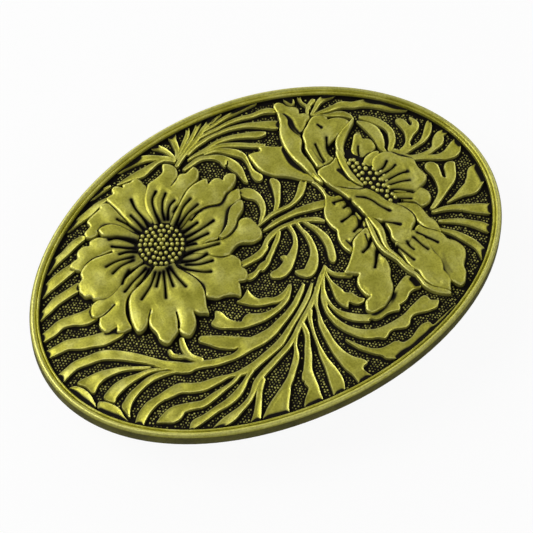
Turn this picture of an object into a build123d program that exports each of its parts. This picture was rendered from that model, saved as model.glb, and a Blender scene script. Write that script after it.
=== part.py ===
from build123d import *
import math
import os

# Oval plate belt buckle, face up. Millimetres, +X along the oval's long axis, +Z out of the face.
# The origin is the centre of the flat pad in the middle of the plate's back.
# Left (-X) is the hinged bail that the belt's sewn or snapped end is folded round,
# right (+X) is the peg that the belt's holes drop over.

# ---- driving dimensions: the cast plate ----
HALF_LENGTH = 48.0         # oval, along X
HALF_WIDTH = 34.1          # oval, along Y
BOW_RADIUS = 337.0         # the plate is bent about Y to follow the waist
BACK = 0.5                 # back surface at the middle, above the centre pad's face
WALL_HEIGHT = 2.1          # plain edge wall, back surface up to the rim bead
BEAD_RISE = 0.8            # rounded rim bead above that wall
RIM_WIDTH = 2.0
FIELD_HEIGHT = 1.5         # background of the carving, above the back surface
LEAF_RISE = 0.8            # leaves above the background
PETAL_RISE = 1.5           # flowers above the background
RECESS_DEPTH = 0.5         # hollow in the back
RECESS_MARGIN = 4.5        # flat border left round that hollow
CENTRE_PAD = (8.5, 5.5)    # half-axes of the rest pad
BRACKET_PAD_CORNER = 2.0
HOOK_PAD = (12.0, 21.0)
HOOK_PAD_CORNER = 4.5
SINK = 0.2                 # how far raised work is rooted in the floor

# ---- driving dimensions: the belt hardware ----
STRAP_WIDTH = 38.0
BAIL_CLEAR_WIDTH = STRAP_WIDTH + 3.0    # between the bail's legs
BAIL_WIRE_RADIUS = 1.5
BAIL_LEG_LENGTH = 20.0     # hinge axis to the middle of the bar
BAIL_CORNER_RADIUS = 5.0
HINGE_X = -13.0
HINGE_Z = -3.4
PIN_RADIUS = 1.25
RUNNING_CLEARANCE = 0.05   # round the pin
EYE_RADIUS = 2.5
EYE_LENGTH = 5.0
EYE_GAP = 0.3              # eye to knuckle, and eye to pin head
PIN_HEAD_RADIUS = 2.1
PIN_HEAD_LENGTH = 0.8
PIN_HEAD_ROUND = 0.5
EYE_ROUND = 0.4
SHEET = 1.1                # thickness of the two stampings
KNUCKLE_LENGTH = 10.2
LEAF_LENGTH = 12.0         # hinge axis to the straight edge of the stamping
SEAM_ANGLE = 38.0          # where the rolled edge meets the leaf
SEAM_GAP = 0.35
CORNER_CUT = 20.0          # square cut that narrows the leaf past the knuckles
CORNER_CUT_X = HINGE_X + 15.5
CORNER_CUT_OUTBOARD = 14.0     # its middle, beyond the screw
HOOK_X = 30.0
HOOK_PAD_Z = -2.0
HOOK_PLATE = (10.5, 19.5)
HOOK_PLATE_CORNER = 4.0
HOOK_LEAN = 12.0           # degrees towards the middle, so that the belt's pull seats it
PEG_RADIUS = 2.5
PEG_LENGTH = 6.5
PEG_TIP_ROUND = 1.2
PEG_FOOT_RADIUS = 3.3
PEG_FOOT_HEIGHT = 1.0
PEG_COLLAR_Z = -0.9        # middle of the leaning collar, below the hook plate
TENON_RADIUS = 1.58
TENON_HOLE_RADIUS = 1.6
SCREW_RADIUS = 1.0
SCREW_HEAD_RADIUS = 1.9
SCREW_HEAD_HEIGHT = 1.0
SCREW_HEAD_ROUND = 0.55
SCREW_DEPTH = 2.0          # shank length in the casting
SCREW_HOLE_CLEARANCE = 0.02
SCREW_HOLE_SPARE = 0.2     # hole deeper than the shank
STAMPED_HOLE_CLEARANCE = 0.15
SCREW_SLOT = (0.45, 0.45)  # width and depth
BRACKET_SCREW_Y = 13.0
BRACKET_SCREW_X = HINGE_X + 8.0
BRACKET_PAD_WIDTH = 2 * BRACKET_SCREW_Y + 9.0
HOOK_SCREW_Y = 6.4

# ---- levels that follow ----
FIELD = BACK + FIELD_HEIGHT
RIM_TOP = BACK + WALL_HEIGHT + BEAD_RISE
HINGE_PAD_Z = HINGE_Z + PIN_RADIUS + RUNNING_CLEARANCE + SHEET
KNUCKLE_RADIUS = PIN_RADIUS + RUNNING_CLEARANCE + SHEET
LEG_Y = BAIL_CLEAR_WIDTH / 2 + BAIL_WIRE_RADIUS
EYE_INNER_Y = LEG_Y - EYE_LENGTH / 2
EYE_OUTER_Y = LEG_Y + EYE_LENGTH / 2
TALL = 60.0                # height of a prism that is then trimmed between two levels
STANDING = (Align.CENTER, Align.CENTER, Align.MIN)
HANGING = (Align.CENTER, Align.CENTER, Align.MAX)

# ---- the carving, in outline only ----
DAISY_MIDDLE = (-16.6, 12.2)
DAISY_DISC = 7.0
DAISY_PETALS = 12
DAISY_PETAL = (16.5, 8.0)
POPPY_MIDDLE = (25.5, 4.0)
POPPY_CUP = (8.5, 10.0)
POPPY_PETAL_WIDTH = 8.5
POPPY_PETALS = ((-100, 26), (-70, 28), (-125, 24), (115, 24), (150, 20), (80, 17))    # turn, length
STEM_ROOT_RADIUS = 1.3
# Each spray: its root, then for each lobe the tip, the sag to the left of the run and the width.
SPRAYS = (
    ((8, -8), (
        ((-37, -14), 8, 3.0),
        ((-29, -21), 5, 3.0),
        ((-15, -27), 4, 3.0),
        ((-2, -30), 2, 3.0),
        ((18, -26), -4, 3.0),
        ((31, -21), -8, 3.0),
    )),
    ((2, 5), (((17, 9), 2, 2.2),)),
    ((-6, 27), (((14, 28), 2, 2.6), ((-31, 22), -2, 3.0))),
    ((33, -6), (((43, 1), -1, 3.0), ((40, -12), 1, 3.0))),
    ((31, 8), (((42, 6), 3, 3.0),)),
    ((-36, 5), (((-44, 6), -1, 3.0),)),
    ((-30, 20), (((-41, 15), -1, 3.0),)),
)


def under(level):
    """Everything below a bowed level: a bar of round section lying along Y."""
    bar = Cylinder(BOW_RADIUS + level, 4 * HALF_WIDTH, rotation=(90, 0, 0))
    return Pos(0, 0, -BOW_RADIUS) * bar


def between(outline, low, high):
    """A flat outline pulled up into a solid and trimmed between two bowed levels."""
    prism = extrude(Pos(0, 0, -TALL / 2) * outline, TALL)
    return (prism & under(high)) - under(low)


def oval(inset):
    return Ellipse(HALF_LENGTH - inset, HALF_WIDTH - inset)


# ---- the cast plate ----
def rim_and_floor():
    blank = between(oval(0), BACK, RIM_TOP)
    ring = [e for e in blank.edges() if e.center().Z > FIELD - 6 and e.length > 100]
    top_edge = max(ring, key=lambda e: e.bounding_box().max.Z)
    blank = fillet(top_edge, BEAD_RISE)
    field = between(oval(RIM_WIDTH), FIELD, RIM_TOP + 1)
    hollow = between(oval(RECESS_MARGIN), BACK - 1, BACK + RECESS_DEPTH)
    return blank - field - hollow


def pad(outline, face_z):
    """A raised flat pad on the back, from its face up into the floor."""
    post = extrude(Pos(0, 0, face_z) * outline, TALL)
    return post & under(FIELD - SINK)


def petal(length, width, turn):
    """One petal outline that starts at the flower's middle."""
    return Rot(0, 0, turn) * Pos(length / 2, 0) * Ellipse(length / 2, width / 2)


def daisy():
    """The left flower: a ring of petals round a disc of stamens."""
    shape = Circle(DAISY_DISC)
    for i in range(DAISY_PETALS):
        shape += petal(*DAISY_PETAL, 360 * i / DAISY_PETALS)
    return between(Pos(*DAISY_MIDDLE) * shape, FIELD - SINK, FIELD + PETAL_RISE)


def poppy():
    """The right flower: a cup seen from the side, with long petals hanging from it."""
    shape = Ellipse(*POPPY_CUP)
    for turn, length in POPPY_PETALS:
        shape += petal(length, POPPY_PETAL_WIDTH, turn)
    return between(Pos(*POPPY_MIDDLE) * shape, FIELD - SINK, FIELD + PETAL_RISE)


def frond(start, end, sag, width):
    """One leaf lobe: a crescent between two points."""
    middle = Vector((start[0] + end[0]) / 2, (start[1] + end[1]) / 2)
    run = Vector(end[0] - start[0], end[1] - start[1])
    side = Vector(-run.Y, run.X).normalized()
    outer = ThreePointArc(start, middle + side * (sag + width / 2), end)
    inner = ThreePointArc(end, middle + side * (sag - width / 2), start)
    lobe = make_face([outer, inner])
    return between(lobe, FIELD - SINK, FIELD + LEAF_RISE)


def stem_root(x, y):
    """A small round boss that the lobes of one spray grow from."""
    return between(Pos(x, y) * Circle(STEM_ROOT_RADIUS), FIELD - SINK, FIELD + LEAF_RISE)


def screw_hole(x, y, face_z):
    radius = SCREW_RADIUS + SCREW_HOLE_CLEARANCE
    depth = SCREW_DEPTH + SCREW_HOLE_SPARE
    return Pos(x, y, face_z + depth / 2) * Cylinder(radius, depth)


def face_plate():
    plate = rim_and_floor()
    plate += pad(Ellipse(*CENTRE_PAD), 0)
    bracket_seat = RectangleRounded(LEAF_LENGTH + 1, BRACKET_PAD_WIDTH, BRACKET_PAD_CORNER)
    plate += pad(Pos(HINGE_X + LEAF_LENGTH / 2, 0) * bracket_seat, HINGE_PAD_Z)
    plate += pad(Pos(HOOK_X, 0) * RectangleRounded(*HOOK_PAD, HOOK_PAD_CORNER), HOOK_PAD_Z)
    plate += daisy()
    plate += poppy()
    for root, lobes in SPRAYS:
        plate += stem_root(*root)
        for tip, sag, width in lobes:
            plate += frond(root, tip, sag, width)
    for side in (-1, 1):
        plate -= screw_hole(BRACKET_SCREW_X, side * BRACKET_SCREW_Y, HINGE_PAD_Z)
        plate -= screw_hole(HOOK_X, side * HOOK_SCREW_Y, HOOK_PAD_Z)
    return plate


# ---- the bail and its hinge ----
def hinge_bracket():
    """A stamping: a flat leaf whose hinge edge is rolled into two knuckles."""
    bore = PIN_RADIUS
    leaf = Pos(LEAF_LENGTH / 2, KNUCKLE_RADIUS - SHEET / 2) * Rectangle(LEAF_LENGTH, SHEET)
    section = leaf + Circle(KNUCKLE_RADIUS) - Circle(bore)
    seam = Rot(0, 0, SEAM_ANGLE) * Pos(KNUCKLE_RADIUS, 0) * Rectangle(2.5 * SHEET, SEAM_GAP)
    section -= seam
    span = EYE_INNER_Y - EYE_GAP
    stock = Plane.XZ * section
    stock = Pos(HINGE_X, span, HINGE_Z) * extrude(stock, 2 * span)
    window = 2 * (span - KNUCKLE_LENGTH)
    stock -= Pos(HINGE_X - 1, 0, HINGE_Z) * Box(2 * KNUCKLE_RADIUS + 3, window, TALL)
    corner_cut = Box(CORNER_CUT, CORNER_CUT, 4 * SHEET)
    hole = Cylinder(SCREW_RADIUS + STAMPED_HOLE_CLEARANCE, 4 * SHEET)
    for side in (-1, 1):
        cut_y = BRACKET_SCREW_Y + CORNER_CUT_OUTBOARD
        stock -= Pos(CORNER_CUT_X, side * cut_y, HINGE_PAD_Z) * corner_cut
        stock -= Pos(BRACKET_SCREW_X, side * BRACKET_SCREW_Y, HINGE_PAD_Z) * hole
    return stock


def hinge_pin():
    """A plain rod with a head formed on each end, outside the bail's eyes."""
    half = EYE_OUTER_Y + EYE_GAP
    rod = Cylinder(PIN_RADIUS, 2 * half + PIN_HEAD_LENGTH, rotation=(90, 0, 0))
    for side in (-1, 1):
        head = Cylinder(PIN_HEAD_RADIUS, PIN_HEAD_LENGTH)
        outer = head.edges().sort_by(Axis.Z)[-1]
        head = fillet(outer, PIN_HEAD_ROUND)
        head = Rot(-90 * side, 0, 0) * head
        rod += Pos(0, side * (half + PIN_HEAD_LENGTH / 2), 0) * head
    return Pos(HINGE_X, 0, HINGE_Z) * rod


def bail():
    """A U of round wire whose two ends are eyes on the pin. It lies towards the plate's left end."""
    bar_x = -BAIL_LEG_LENGTH
    corners = [(0, LEG_Y), (bar_x, LEG_Y), (bar_x, -LEG_Y), (0, -LEG_Y)]
    path = FilletPolyline(*corners, radius=BAIL_CORNER_RADIUS)
    start = Plane(origin=(0, LEG_Y, 0), z_dir=(-1, 0, 0))
    loop = sweep(start * Circle(BAIL_WIRE_RADIUS), path=path)
    for side in (-1, 1):
        eye = Cylinder(EYE_RADIUS, EYE_LENGTH, rotation=(90, 0, 0))
        eye = fillet(eye.edges(), EYE_ROUND)
        loop += Pos(0, side * LEG_Y, 0) * eye
    loop -= Cylinder(PIN_RADIUS + RUNNING_CLEARANCE, 4 * LEG_Y, rotation=(90, 0, 0))
    return Pos(HINGE_X, 0, HINGE_Z) * loop


# ---- the hook ----
def hook_plate():
    """The stamping that carries the peg, seated on its own pad."""
    base = Pos(HOOK_X, 0, HOOK_PAD_Z - SHEET) * RectangleRounded(*HOOK_PLATE, HOOK_PLATE_CORNER)
    base = extrude(base, SHEET)
    screw_clearance = SCREW_RADIUS + STAMPED_HOLE_CLEARANCE
    for y, radius in ((-HOOK_SCREW_Y, screw_clearance), (0, TENON_HOLE_RADIUS), (HOOK_SCREW_Y, screw_clearance)):
        base -= Pos(HOOK_X, y, HOOK_PAD_Z) * Cylinder(radius, 4 * SHEET)
    return base


def hook_peg():
    """A turned peg, staked through the hook plate and leaning towards the middle."""
    tenon = Cylinder(TENON_RADIUS, SHEET, align=STANDING)
    foot = Cylinder(PEG_FOOT_RADIUS, PEG_FOOT_HEIGHT, align=HANGING)
    collar = Cylinder(PEG_FOOT_RADIUS, PEG_FOOT_HEIGHT)
    lean = Rot(0, HOOK_LEAN, 0)
    past_collar = Pos(0, 0, -PEG_FOOT_HEIGHT / 2) * Box(TALL, TALL, TALL, align=HANGING)
    foot -= Pos(0, 0, PEG_COLLAR_Z) * (lean * past_collar)
    shaft = Cylinder(PEG_RADIUS, PEG_LENGTH, align=HANGING)
    shaft = fillet(shaft.edges().sort_by(Axis.Z)[0], PEG_TIP_ROUND)
    leaning = Pos(0, 0, PEG_COLLAR_Z) * (lean * (collar + Pos(0, 0, -PEG_FOOT_HEIGHT / 2) * shaft))
    below_seat = Pos(0, 0, -TALL / 2) * Box(TALL, TALL, TALL)
    peg = tenon + foot + (leaning & below_seat)
    return Pos(HOOK_X, 0, HOOK_PAD_Z - SHEET) * peg


# ---- the screws ----
def screw(x, y, seat_z):
    """A small slotted pan-head screw, head down, seated under a stamping."""
    shank_length = SHEET + SCREW_DEPTH
    shank = Cylinder(SCREW_RADIUS, shank_length, align=STANDING)
    head = Cylinder(SCREW_HEAD_RADIUS, SCREW_HEAD_HEIGHT, align=HANGING)
    head = fillet(head.edges().sort_by(Axis.Z)[0], SCREW_HEAD_ROUND)
    slot_width, slot_depth = SCREW_SLOT
    slot = Pos(0, 0, -SCREW_HEAD_HEIGHT) * Box(2 * SCREW_HEAD_RADIUS, slot_width, 2 * slot_depth)
    return Pos(x, y, seat_z) * (shank + head - slot)


def screw_pair(x, y, seat_z):
    return Compound(children=[screw(x, -y, seat_z), screw(x, y, seat_z)])


NODES = {
    "face_plate": face_plate(),
    "hinge_bracket": hinge_bracket(),
    "hinge_pin": hinge_pin(),
    "bail": bail(),
    "bracket_screws": screw_pair(BRACKET_SCREW_X, BRACKET_SCREW_Y, HINGE_PAD_Z - SHEET),
    "hook_plate": hook_plate(),
    "hook_peg": hook_peg(),
    "hook_screws": screw_pair(HOOK_X, HOOK_SCREW_Y, HOOK_PAD_Z - SHEET),
}

os.makedirs("parts", exist_ok=True)
for name, shape in NODES.items():
    export_step(shape, f"parts/{name}.step")
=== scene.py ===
import math
import random

import bmesh
import bpy
import numpy as np
from bpy.props import FloatProperty, FloatVectorProperty, PointerProperty
from mathutils import Matrix, Vector


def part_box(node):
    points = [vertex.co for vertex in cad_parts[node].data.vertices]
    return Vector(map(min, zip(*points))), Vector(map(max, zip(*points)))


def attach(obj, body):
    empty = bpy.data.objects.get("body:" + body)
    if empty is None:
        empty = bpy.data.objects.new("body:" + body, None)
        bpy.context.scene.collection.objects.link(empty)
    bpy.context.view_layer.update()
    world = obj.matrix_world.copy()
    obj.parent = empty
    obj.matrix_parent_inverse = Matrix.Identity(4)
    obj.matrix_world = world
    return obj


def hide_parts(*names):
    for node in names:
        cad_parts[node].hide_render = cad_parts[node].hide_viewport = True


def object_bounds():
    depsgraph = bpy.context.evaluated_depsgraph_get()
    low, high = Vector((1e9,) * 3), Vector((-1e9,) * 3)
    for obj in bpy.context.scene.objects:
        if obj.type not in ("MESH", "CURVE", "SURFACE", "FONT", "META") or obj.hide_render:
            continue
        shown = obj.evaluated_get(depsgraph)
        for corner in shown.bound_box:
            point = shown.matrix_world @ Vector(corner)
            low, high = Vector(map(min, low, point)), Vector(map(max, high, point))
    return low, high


bl_info = {
    "name": "Carved Oval Buckle",
    "version": (1, 0, 0),
    "blender": (4, 5, 0),
    "location": "View3D > Sidebar > Buckle",
    "description": "Builds a bowed oval belt buckle carved with two flowers and leaf sprays",
    "category": "Object",
}

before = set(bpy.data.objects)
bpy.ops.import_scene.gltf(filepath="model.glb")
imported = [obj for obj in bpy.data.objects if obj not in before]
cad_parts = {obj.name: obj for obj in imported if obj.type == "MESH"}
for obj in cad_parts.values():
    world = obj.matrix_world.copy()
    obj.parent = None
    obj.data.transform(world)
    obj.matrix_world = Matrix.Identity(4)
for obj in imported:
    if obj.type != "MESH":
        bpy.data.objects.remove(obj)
CAD_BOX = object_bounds()

MM = 0.001
BODY = "buckle"

# ---- sizes of the casting, in millimetres above the rest pad's face ----
HALF_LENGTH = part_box("face_plate")[1].x / MM
HALF_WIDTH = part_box("face_plate")[1].y / MM
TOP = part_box("face_plate")[1].z / MM
RIM_TOP = TOP - 0.1
BOW_RADIUS = 337.0
BACK = 0.5
GROUND = RIM_TOP - 1.55
SLAB_SPLIT = BACK + 0.8     # the back's pads are below it, the carved face above
RIM_WIDTH = 2.0
ROOT = GROUND - 0.25        # how low the carved pieces are rooted
BEAD_ROOT = 0.25            # how deep a bead goes below its own level
LEAF_RISE = 0.88            # top of a leaf above the ground
DAISY_RISE = 1.05           # lowest petals of the daisy above the ground
DAISY_LAP = 0.28            # how much higher each later petal lies
POPPY_RISE = 1.08
POPPY_LAP = 0.25
PROUD = 0.3                 # how far a petal may stand over the rim
STEP = 0.15                 # spacing of the carving's mesh
SNAP = 0.62                 # how far an edge point may move, in steps
EDGE = 0.06                 # width of the bevel along a carved edge
BEVEL_DROP = 0.1            # height of that bevel
DRAFT = 0.05                # how far a wall stands out at its foot
SLIT_FADE = 0.42            # how far the black spreads from a slit
STRIP = 3.0                 # width of the strips that wide flat faces are cut into
STRIPS = 15                 # strips to each side of the middle
OUTSIDE = -9.0              # depth far from any shape
REACH = 2.5                 # how far round a line its depth is worked out


# =====================================================================
# The carving, drawn flat. Points are millimetres in the plate's own plane.
# A ribbon is a row of (x, y, half width); an outline is a row of (x, y).
# =====================================================================

LEAVES = {
    "leaf_fan_west": {
        "ribbons": (
            ((-24.3, 27.5, .2), (-22, 28.1, .35), (-20, 28.4, .4), (-18.4, 28.45, .25)),
            ((-30.5, 24.2, .25), (-28, 24.85, .5), (-25, 25.4, .75), (-22.5, 26, .6), (-20.2, 26.3, .3)),
            ((-37.6, 19, .8), (-36, 19.6, .75), (-33, 20.3, .7), (-30.5, 21.1, .75), (-28.4, 21.4, .6)),
            ((-41.6, 14.7, .6), (-40.4, 15.3, .75), (-39, 15.7, .9), (-36.5, 16.4, 1.05), (-33, 16.9, .9)),
            ((-44, 10.8, .5), (-42.7, 11.3, .6), (-41, 11.8, .75), (-38.5, 12.5, .85), (-34, 12.8, .85)),
            ((-45.6, 7.1, .7), (-42.5, 7.4, .95), (-40.3, 7.8, .95), (-38, 7.3, 1.1), (-36, 6.5, 1.45),
             (-33.5, 6.4, 1.4)),
            ((-46.1, 3.9, .8), (-43.5, 3.6, .9), (-41.3, 3.4, 1), (-39, 2.2, 1.2), (-37, 1.5, 1.15),
             (-35, .8, 1.3), (-32, .3, .9)),
        ),
    },
    "leaf_spray_west": {
        "ribbons": (
            ((-46.3, -1.9, 1), (-44, -1.4, .85), (-42, -1.05, .85), (-39.5, -1.5, .85), (-37, -2, .95),
             (-34.5, -3.6, .95), (-32, -5.8, .85), (-30, -7.8, .75), (-28.5, -9.6, .8), (-26.5, -11.4, .9),
             (-24.5, -12.8, .8), (-22.5, -13.5, .75), (-19.5, -14.7, .7), (-17, -15.3, .6),
             (-15, -15.3, .75), (-12.5, -14.8, 1.2), (-10, -14.85, 1.15), (-7.5, -14.5, .95),
             (-5, -13.6, .75), (-3.5, -13, .65), (-2.2, -12.4, .6), (-.9, -11.7, .55), (.3, -10.8, .5),
             (1.5, -9.9, .45), (2.4, -9.15, .3)),
            ((-19.6, -9.2, .7), (-18.2, -10.4, 1), (-16.8, -11.6, 1.35), (-14.8, -13, 1.3),
             (-12.5, -14.5, 1.2)),
            ((-22.9, -7.3, .5), (-23.3, -8.6, .6), (-23.4, -10, .6), (-23, -11.4, .55), (-22, -12.8, .6)),
            ((-26, -8.2, .4), (-25.9, -9.2, .4), (-25, -10.1, .35), (-24, -10.6, .35), (-23.2, -11.6, .35)),
        ),
        "outlines": (
            ((-43.7, -4.4), (-41, -4.35), (-38.3, -4.8), (-35.9, -5.7), (-33.5, -7), (-30.5, -9),
             (-31.2, -9.1), (-33.6, -7.7), (-36, -6.75), (-38.5, -6.5), (-40.5, -6.95), (-42.05, -7.9),
             (-42.7, -6)),
            ((-40.95, -9.75), (-39.65, -8.9), (-37.7, -8.35), (-35.5, -8.35), (-33.35, -8.8), (-31, -9.3),
             (-29.4, -10), (-27.3, -11.3), (-28.8, -10.9), (-30.5, -10.2), (-32.7, -9.85), (-35.1, -9.95),
             (-37.3, -10.4), (-38.8, -10.9), (-39.8, -11.6)),
            ((-39, -13.05), (-38.1, -12.4), (-36.8, -11.65), (-35.1, -11.15), (-32.5, -10.6),
             (-29.9, -10.8), (-28.1, -11.5), (-25.5, -12.8), (-23, -13.6), (-24.65, -13.95),
             (-25.95, -13.4), (-27.25, -12.5), (-29.4, -12), (-31.6, -11.75), (-33.8, -12.1),
             (-36, -12.95), (-37.3, -13.8), (-38.35, -15.1), (-38.8, -16.1), (-38.95, -14.5)),
            ((-46.2, -4.6), (-44.6, -4.5), (-43.5, -5.6), (-42.8, -7.2), (-42.7, -8.8), (-43.1, -10.6),
             (-44.6, -9.4), (-45.8, -7.2)),
            ((-42.4, -10), (-41.1, -10.6), (-40, -12.1), (-39.5, -13.4), (-39.5, -15), (-39.3, -17),
             (-40.8, -16.4), (-42.2, -14.2), (-43.2, -12.2)),
        ),
        "cuts": (
            ((-20, -12.9, .15), (-17.5, -13.9, .25), (-14.9, -14.3, .12)),
        ),
    },
    "leaf_spray_south_west": {
        "ribbons": (
            ((-38.3, -18.2, .8), (-36.8, -16.9, .95), (-34.8, -15.9, .95), (-32.5, -15.5, .75),
             (-30, -15.55, .95), (-28, -15.7, 1), (-26, -16.9, .95), (-24, -17.7, .9), (-21, -18.05, .65),
             (-19, -18.35, .3), (-17.3, -18.9, .5), (-15, -19.1, .8), (-12.8, -18.7, .7), (-10, -18.1, .7),
             (-7.5, -17.35, .7), (-5.4, -16.25, .55), (-3.2, -14.9, .45), (-1.8, -14.1, .45),
             (-.5, -13.3, .45), (.7, -12.5, .45), (2, -11.5, .45), (3.1, -10.5, .35), (3.9, -9.75, .25)),
            ((-35, -19.35, .15), (-33.3, -19.5, .9), (-31.6, -19.7, 1.5), (-29.9, -19.5, .95),
             (-28, -20, .75), (-26, -20.7, .7), (-23.5, -20.45, .65), (-21, -20.15, .4), (-19, -19.8, .35),
             (-17, -19, .4)),
            ((-30.6, -23.9, .15), (-29.2, -23.4, .75), (-27, -23.3, .65), (-24.5, -23.05, .6),
             (-22, -22.9, .7), (-19.8, -22.4, .75), (-18, -21.5, .6), (-16.6, -20.6, .4), (-15, -19.6, .5)),
        ),
        "cuts": (
            ((-31.6, -17.2, .3), (-31.6, -16.4, .2)),
        ),
    },
    "leaf_spray_south": {
        "ribbons": (
            ((-26.8, -26, .2), (-25, -26, .7), (-22.8, -25.85, .85), (-20.5, -25.3, .55),
             (-18.5, -24.6, .5), (-17, -23.6, .5), (-15.5, -22.3, .6), (-13.5, -21.3, .6), (-11, -20.4, .55),
             (-8.5, -19.5, .5), (-6.5, -18.7, .5), (-4.5, -17.6, .5), (-2.8, -16.3, .5), (-1, -15.1, .5),
             (.6, -14.1, .5), (2.2, -12.9, .5), (3.5, -11.9, .5), (4.8, -10.6, .45), (6.2, -9.3, .5),
             (7.4, -8.3, .4), (8, -7.5, .2)),
            ((-14.2, -22.4, .5), (-15.8, -24, .55), (-17.2, -26, .6), (-18.7, -28, .75), (-20, -29.3, .9)),
            ((-1.9, -16.2, .4), (-2.25, -18.2, .5), (-2.95, -19.7, .5), (-3.7, -21, .6), (-4.45, -22.5, .7),
             (-5.3, -23.8, .75), (-6.05, -25, .85), (-6.75, -26.4, 1.2), (-6.85, -28.4, .95),
             (-7.7, -30, 1.35), (-8.5, -31.5, 1.9)),
            ((.6, -14.6, .5), (-.2, -16, .4), (-.9, -18.2, .27), (-1.4, -20.2, .27), (-1.7, -21.6, .3),
             (-2, -23.2, .5), (-2.15, -24.8, .65), (-2.2, -26.3, .87), (-2.4, -28.3, 1.2),
             (-2.75, -30.1, 1.35), (-3.4, -31.9, 1.1)),
            ((4.3, -10.9, .45), (3.2, -12.4, .45), (2.5, -13.6, .35)),
        ),
        "outlines": (
            ((-3, -16.8), (-4.35, -18.4), (-5.2, -19.7), (-5.65, -21.2), (-6.5, -22.5), (-7.8, -23.8),
             (-9.1, -25.1), (-10.4, -26.2), (-11.1, -27.3), (-12, -28.4), (-12.9, -29.7), (-13.5, -30.8),
             (-15.7, -30.7), (-18.3, -29.5), (-17, -28.2), (-15.4, -27.1), (-13.7, -26.2), (-12, -25.35),
             (-10.2, -24.3), (-8.7, -23), (-7.2, -21.5), (-6.1, -20.1), (-5.2, -18.4), (-3.8, -16.9)),
            ((3.2, -12.4), (2.7, -13.9), (2.2, -15.2), (1.9, -16.5), (1.6, -18), (1.5, -20), (1.4, -22),
             (1.6, -24), (2.1, -25.6), (2.9, -27), (3.9, -28.1), (4.4, -29.2), (3.4, -29.5), (3, -30),
             (3.3, -31), (3.8, -32.2), (2, -32.4), (.9, -32.3), (.6, -30.1), (.1, -28.4), (-.1, -26.5),
             (-.2, -24.5), (-.1, -22.5), (.1, -20.5), (.4, -18.5), (.8, -17.2), (1.4, -16), (1.9, -14.6),
             (2.1, -13.6)),
        ),
        "cuts": (
            ((-8.8, -26.9, .35), (-7.9, -26.6, .2)),
        ),
    },
    "leaf_spray_south_east": {
        "ribbons": (
            ((6.6, -9, .5), (5.9, -10.4, .4), (5.1, -11.9, .4), (4.4, -13.4, .6), (3.7, -15, .45)),
            ((8, -7.6, .2), (8, -8.4, .35), (8.4, -9.5, .4), (9.2, -10.4, .42), (10.2, -11, .45),
             (11.2, -11.7, .4)),
        ),
        "outlines": (
            ((4.3, -12.6), (3.7, -14), (3.2, -15.4), (3, -16.6), (3.1, -18), (3.3, -19.5), (4, -21.3),
             (5, -22.9), (6.2, -24.3), (7.5, -25.2), (8.8, -25.7), (9.4, -26.2), (9.9, -26.5), (10.6, -26.2),
             (11.5, -25.7), (12.5, -25.7), (13.5, -26.1), (14.5, -26.4), (15.5, -26.1), (16.2, -25.3),
             (17, -24.9), (18, -24.9), (19.5, -25.3), (20.7, -25.5), (21.9, -25.5), (22.6, -24.9),
             (23, -24.4), (22.3, -24), (21.6, -23.6), (21.5, -22.9), (21.1, -22.3), (20.2, -22.3),
             (19, -22.6), (17.5, -23.1), (16, -23.7), (14.5, -24), (13, -24.1), (11, -24.1), (9.3, -23.9),
             (7.8, -23.2), (6.5, -22.2), (5.5, -21), (4.7, -19.6), (4.1, -18), (3.9, -16.5), (4, -15),
             (4.5, -13.8)),
            ((4.8, -12), (4.3, -14), (4.4, -15.4), (4.6, -16.6), (5, -18), (5.8, -19.4), (6.9, -20.6),
             (8.2, -21.5), (9.2, -22), (9.3, -21.6), (9.9, -21.7), (10.3, -22.2), (11.5, -22.4),
             (13, -22.2), (14.3, -22.4), (15.2, -22.7), (15.8, -22.2), (15.9, -21.7), (16.8, -21.6),
             (17.8, -21.3), (18.5, -20.8), (19.4, -20.3), (20.5, -20.3), (21.5, -20.4), (21.9, -19.2),
             (21.9, -18.1), (21, -17.4), (20.3, -16.9), (19.2, -17.2), (18, -17.8), (17, -18.4),
             (15.7, -19.6), (14.4, -20.5), (12.8, -21), (11.3, -21), (10, -20.7), (9, -20.2), (7.8, -19.4),
             (6.6, -18.3), (5.8, -17.4), (5.2, -16.3), (5, -15), (5.1, -13.5), (5.4, -12.2)),
            ((3.2, -22.8), (3.9, -23.7), (4.8, -25), (5.8, -26.3), (7, -27.3), (8.3, -27.9), (9.8, -28),
             (10.9, -27.9), (11.7, -28.3), (12.4, -28.9), (13.5, -28.9), (14.5, -28.6), (15.8, -27.9),
             (17, -27.4), (18, -27.3), (18.9, -27.5), (19.1, -28.1), (19.5, -28.3), (20.5, -28),
             (22, -27.6), (23.5, -27.1), (25, -26.7), (26, -26.8), (25, -27.4), (24, -27.9), (22, -28.8),
             (20, -29.5), (18, -30.1), (16, -30.7), (14, -31.1), (12, -31.5), (10.8, -31.6), (9.9, -31.4),
             (8.7, -30.8), (7.8, -30.2), (7.4, -29.2), (6.5, -28.4), (5.5, -27.3), (4.5, -26), (3.8, -24.6),
             (3.3, -23.5)),
            ((7, -8.6), (7, -9.9), (6.9, -11), (6.6, -12.5), (6.3, -13.8), (6.2, -15), (6.4, -16.2),
             (6.8, -17), (7.2, -17.5), (7.5, -17.1), (7.8, -16.7), (8.1, -16.6), (8.6, -17.3), (9.4, -17.8),
             (10.4, -17.8), (10.9, -17.3), (10.2, -16.6), (9.8, -15.8), (9.4, -15), (8.6, -14.6),
             (8.3, -14.1), (8.2, -13.3), (7.9, -12.5), (7.6, -11.5), (7.5, -10.5), (7.6, -9.4), (7.8, -8.6)),
        ),
        "hollows": (((21.2, -19.2, .9, .35), (21, -18.2, .7, .3)),),
    },
    "leaf_acanthus": {
        "ribbons": (
            ((-.5, -1, .5), (1, .1, .45), (2.2, 1.1, .45), (3.2, 1.9, .45), (4.2, 3, .4)),
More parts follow.
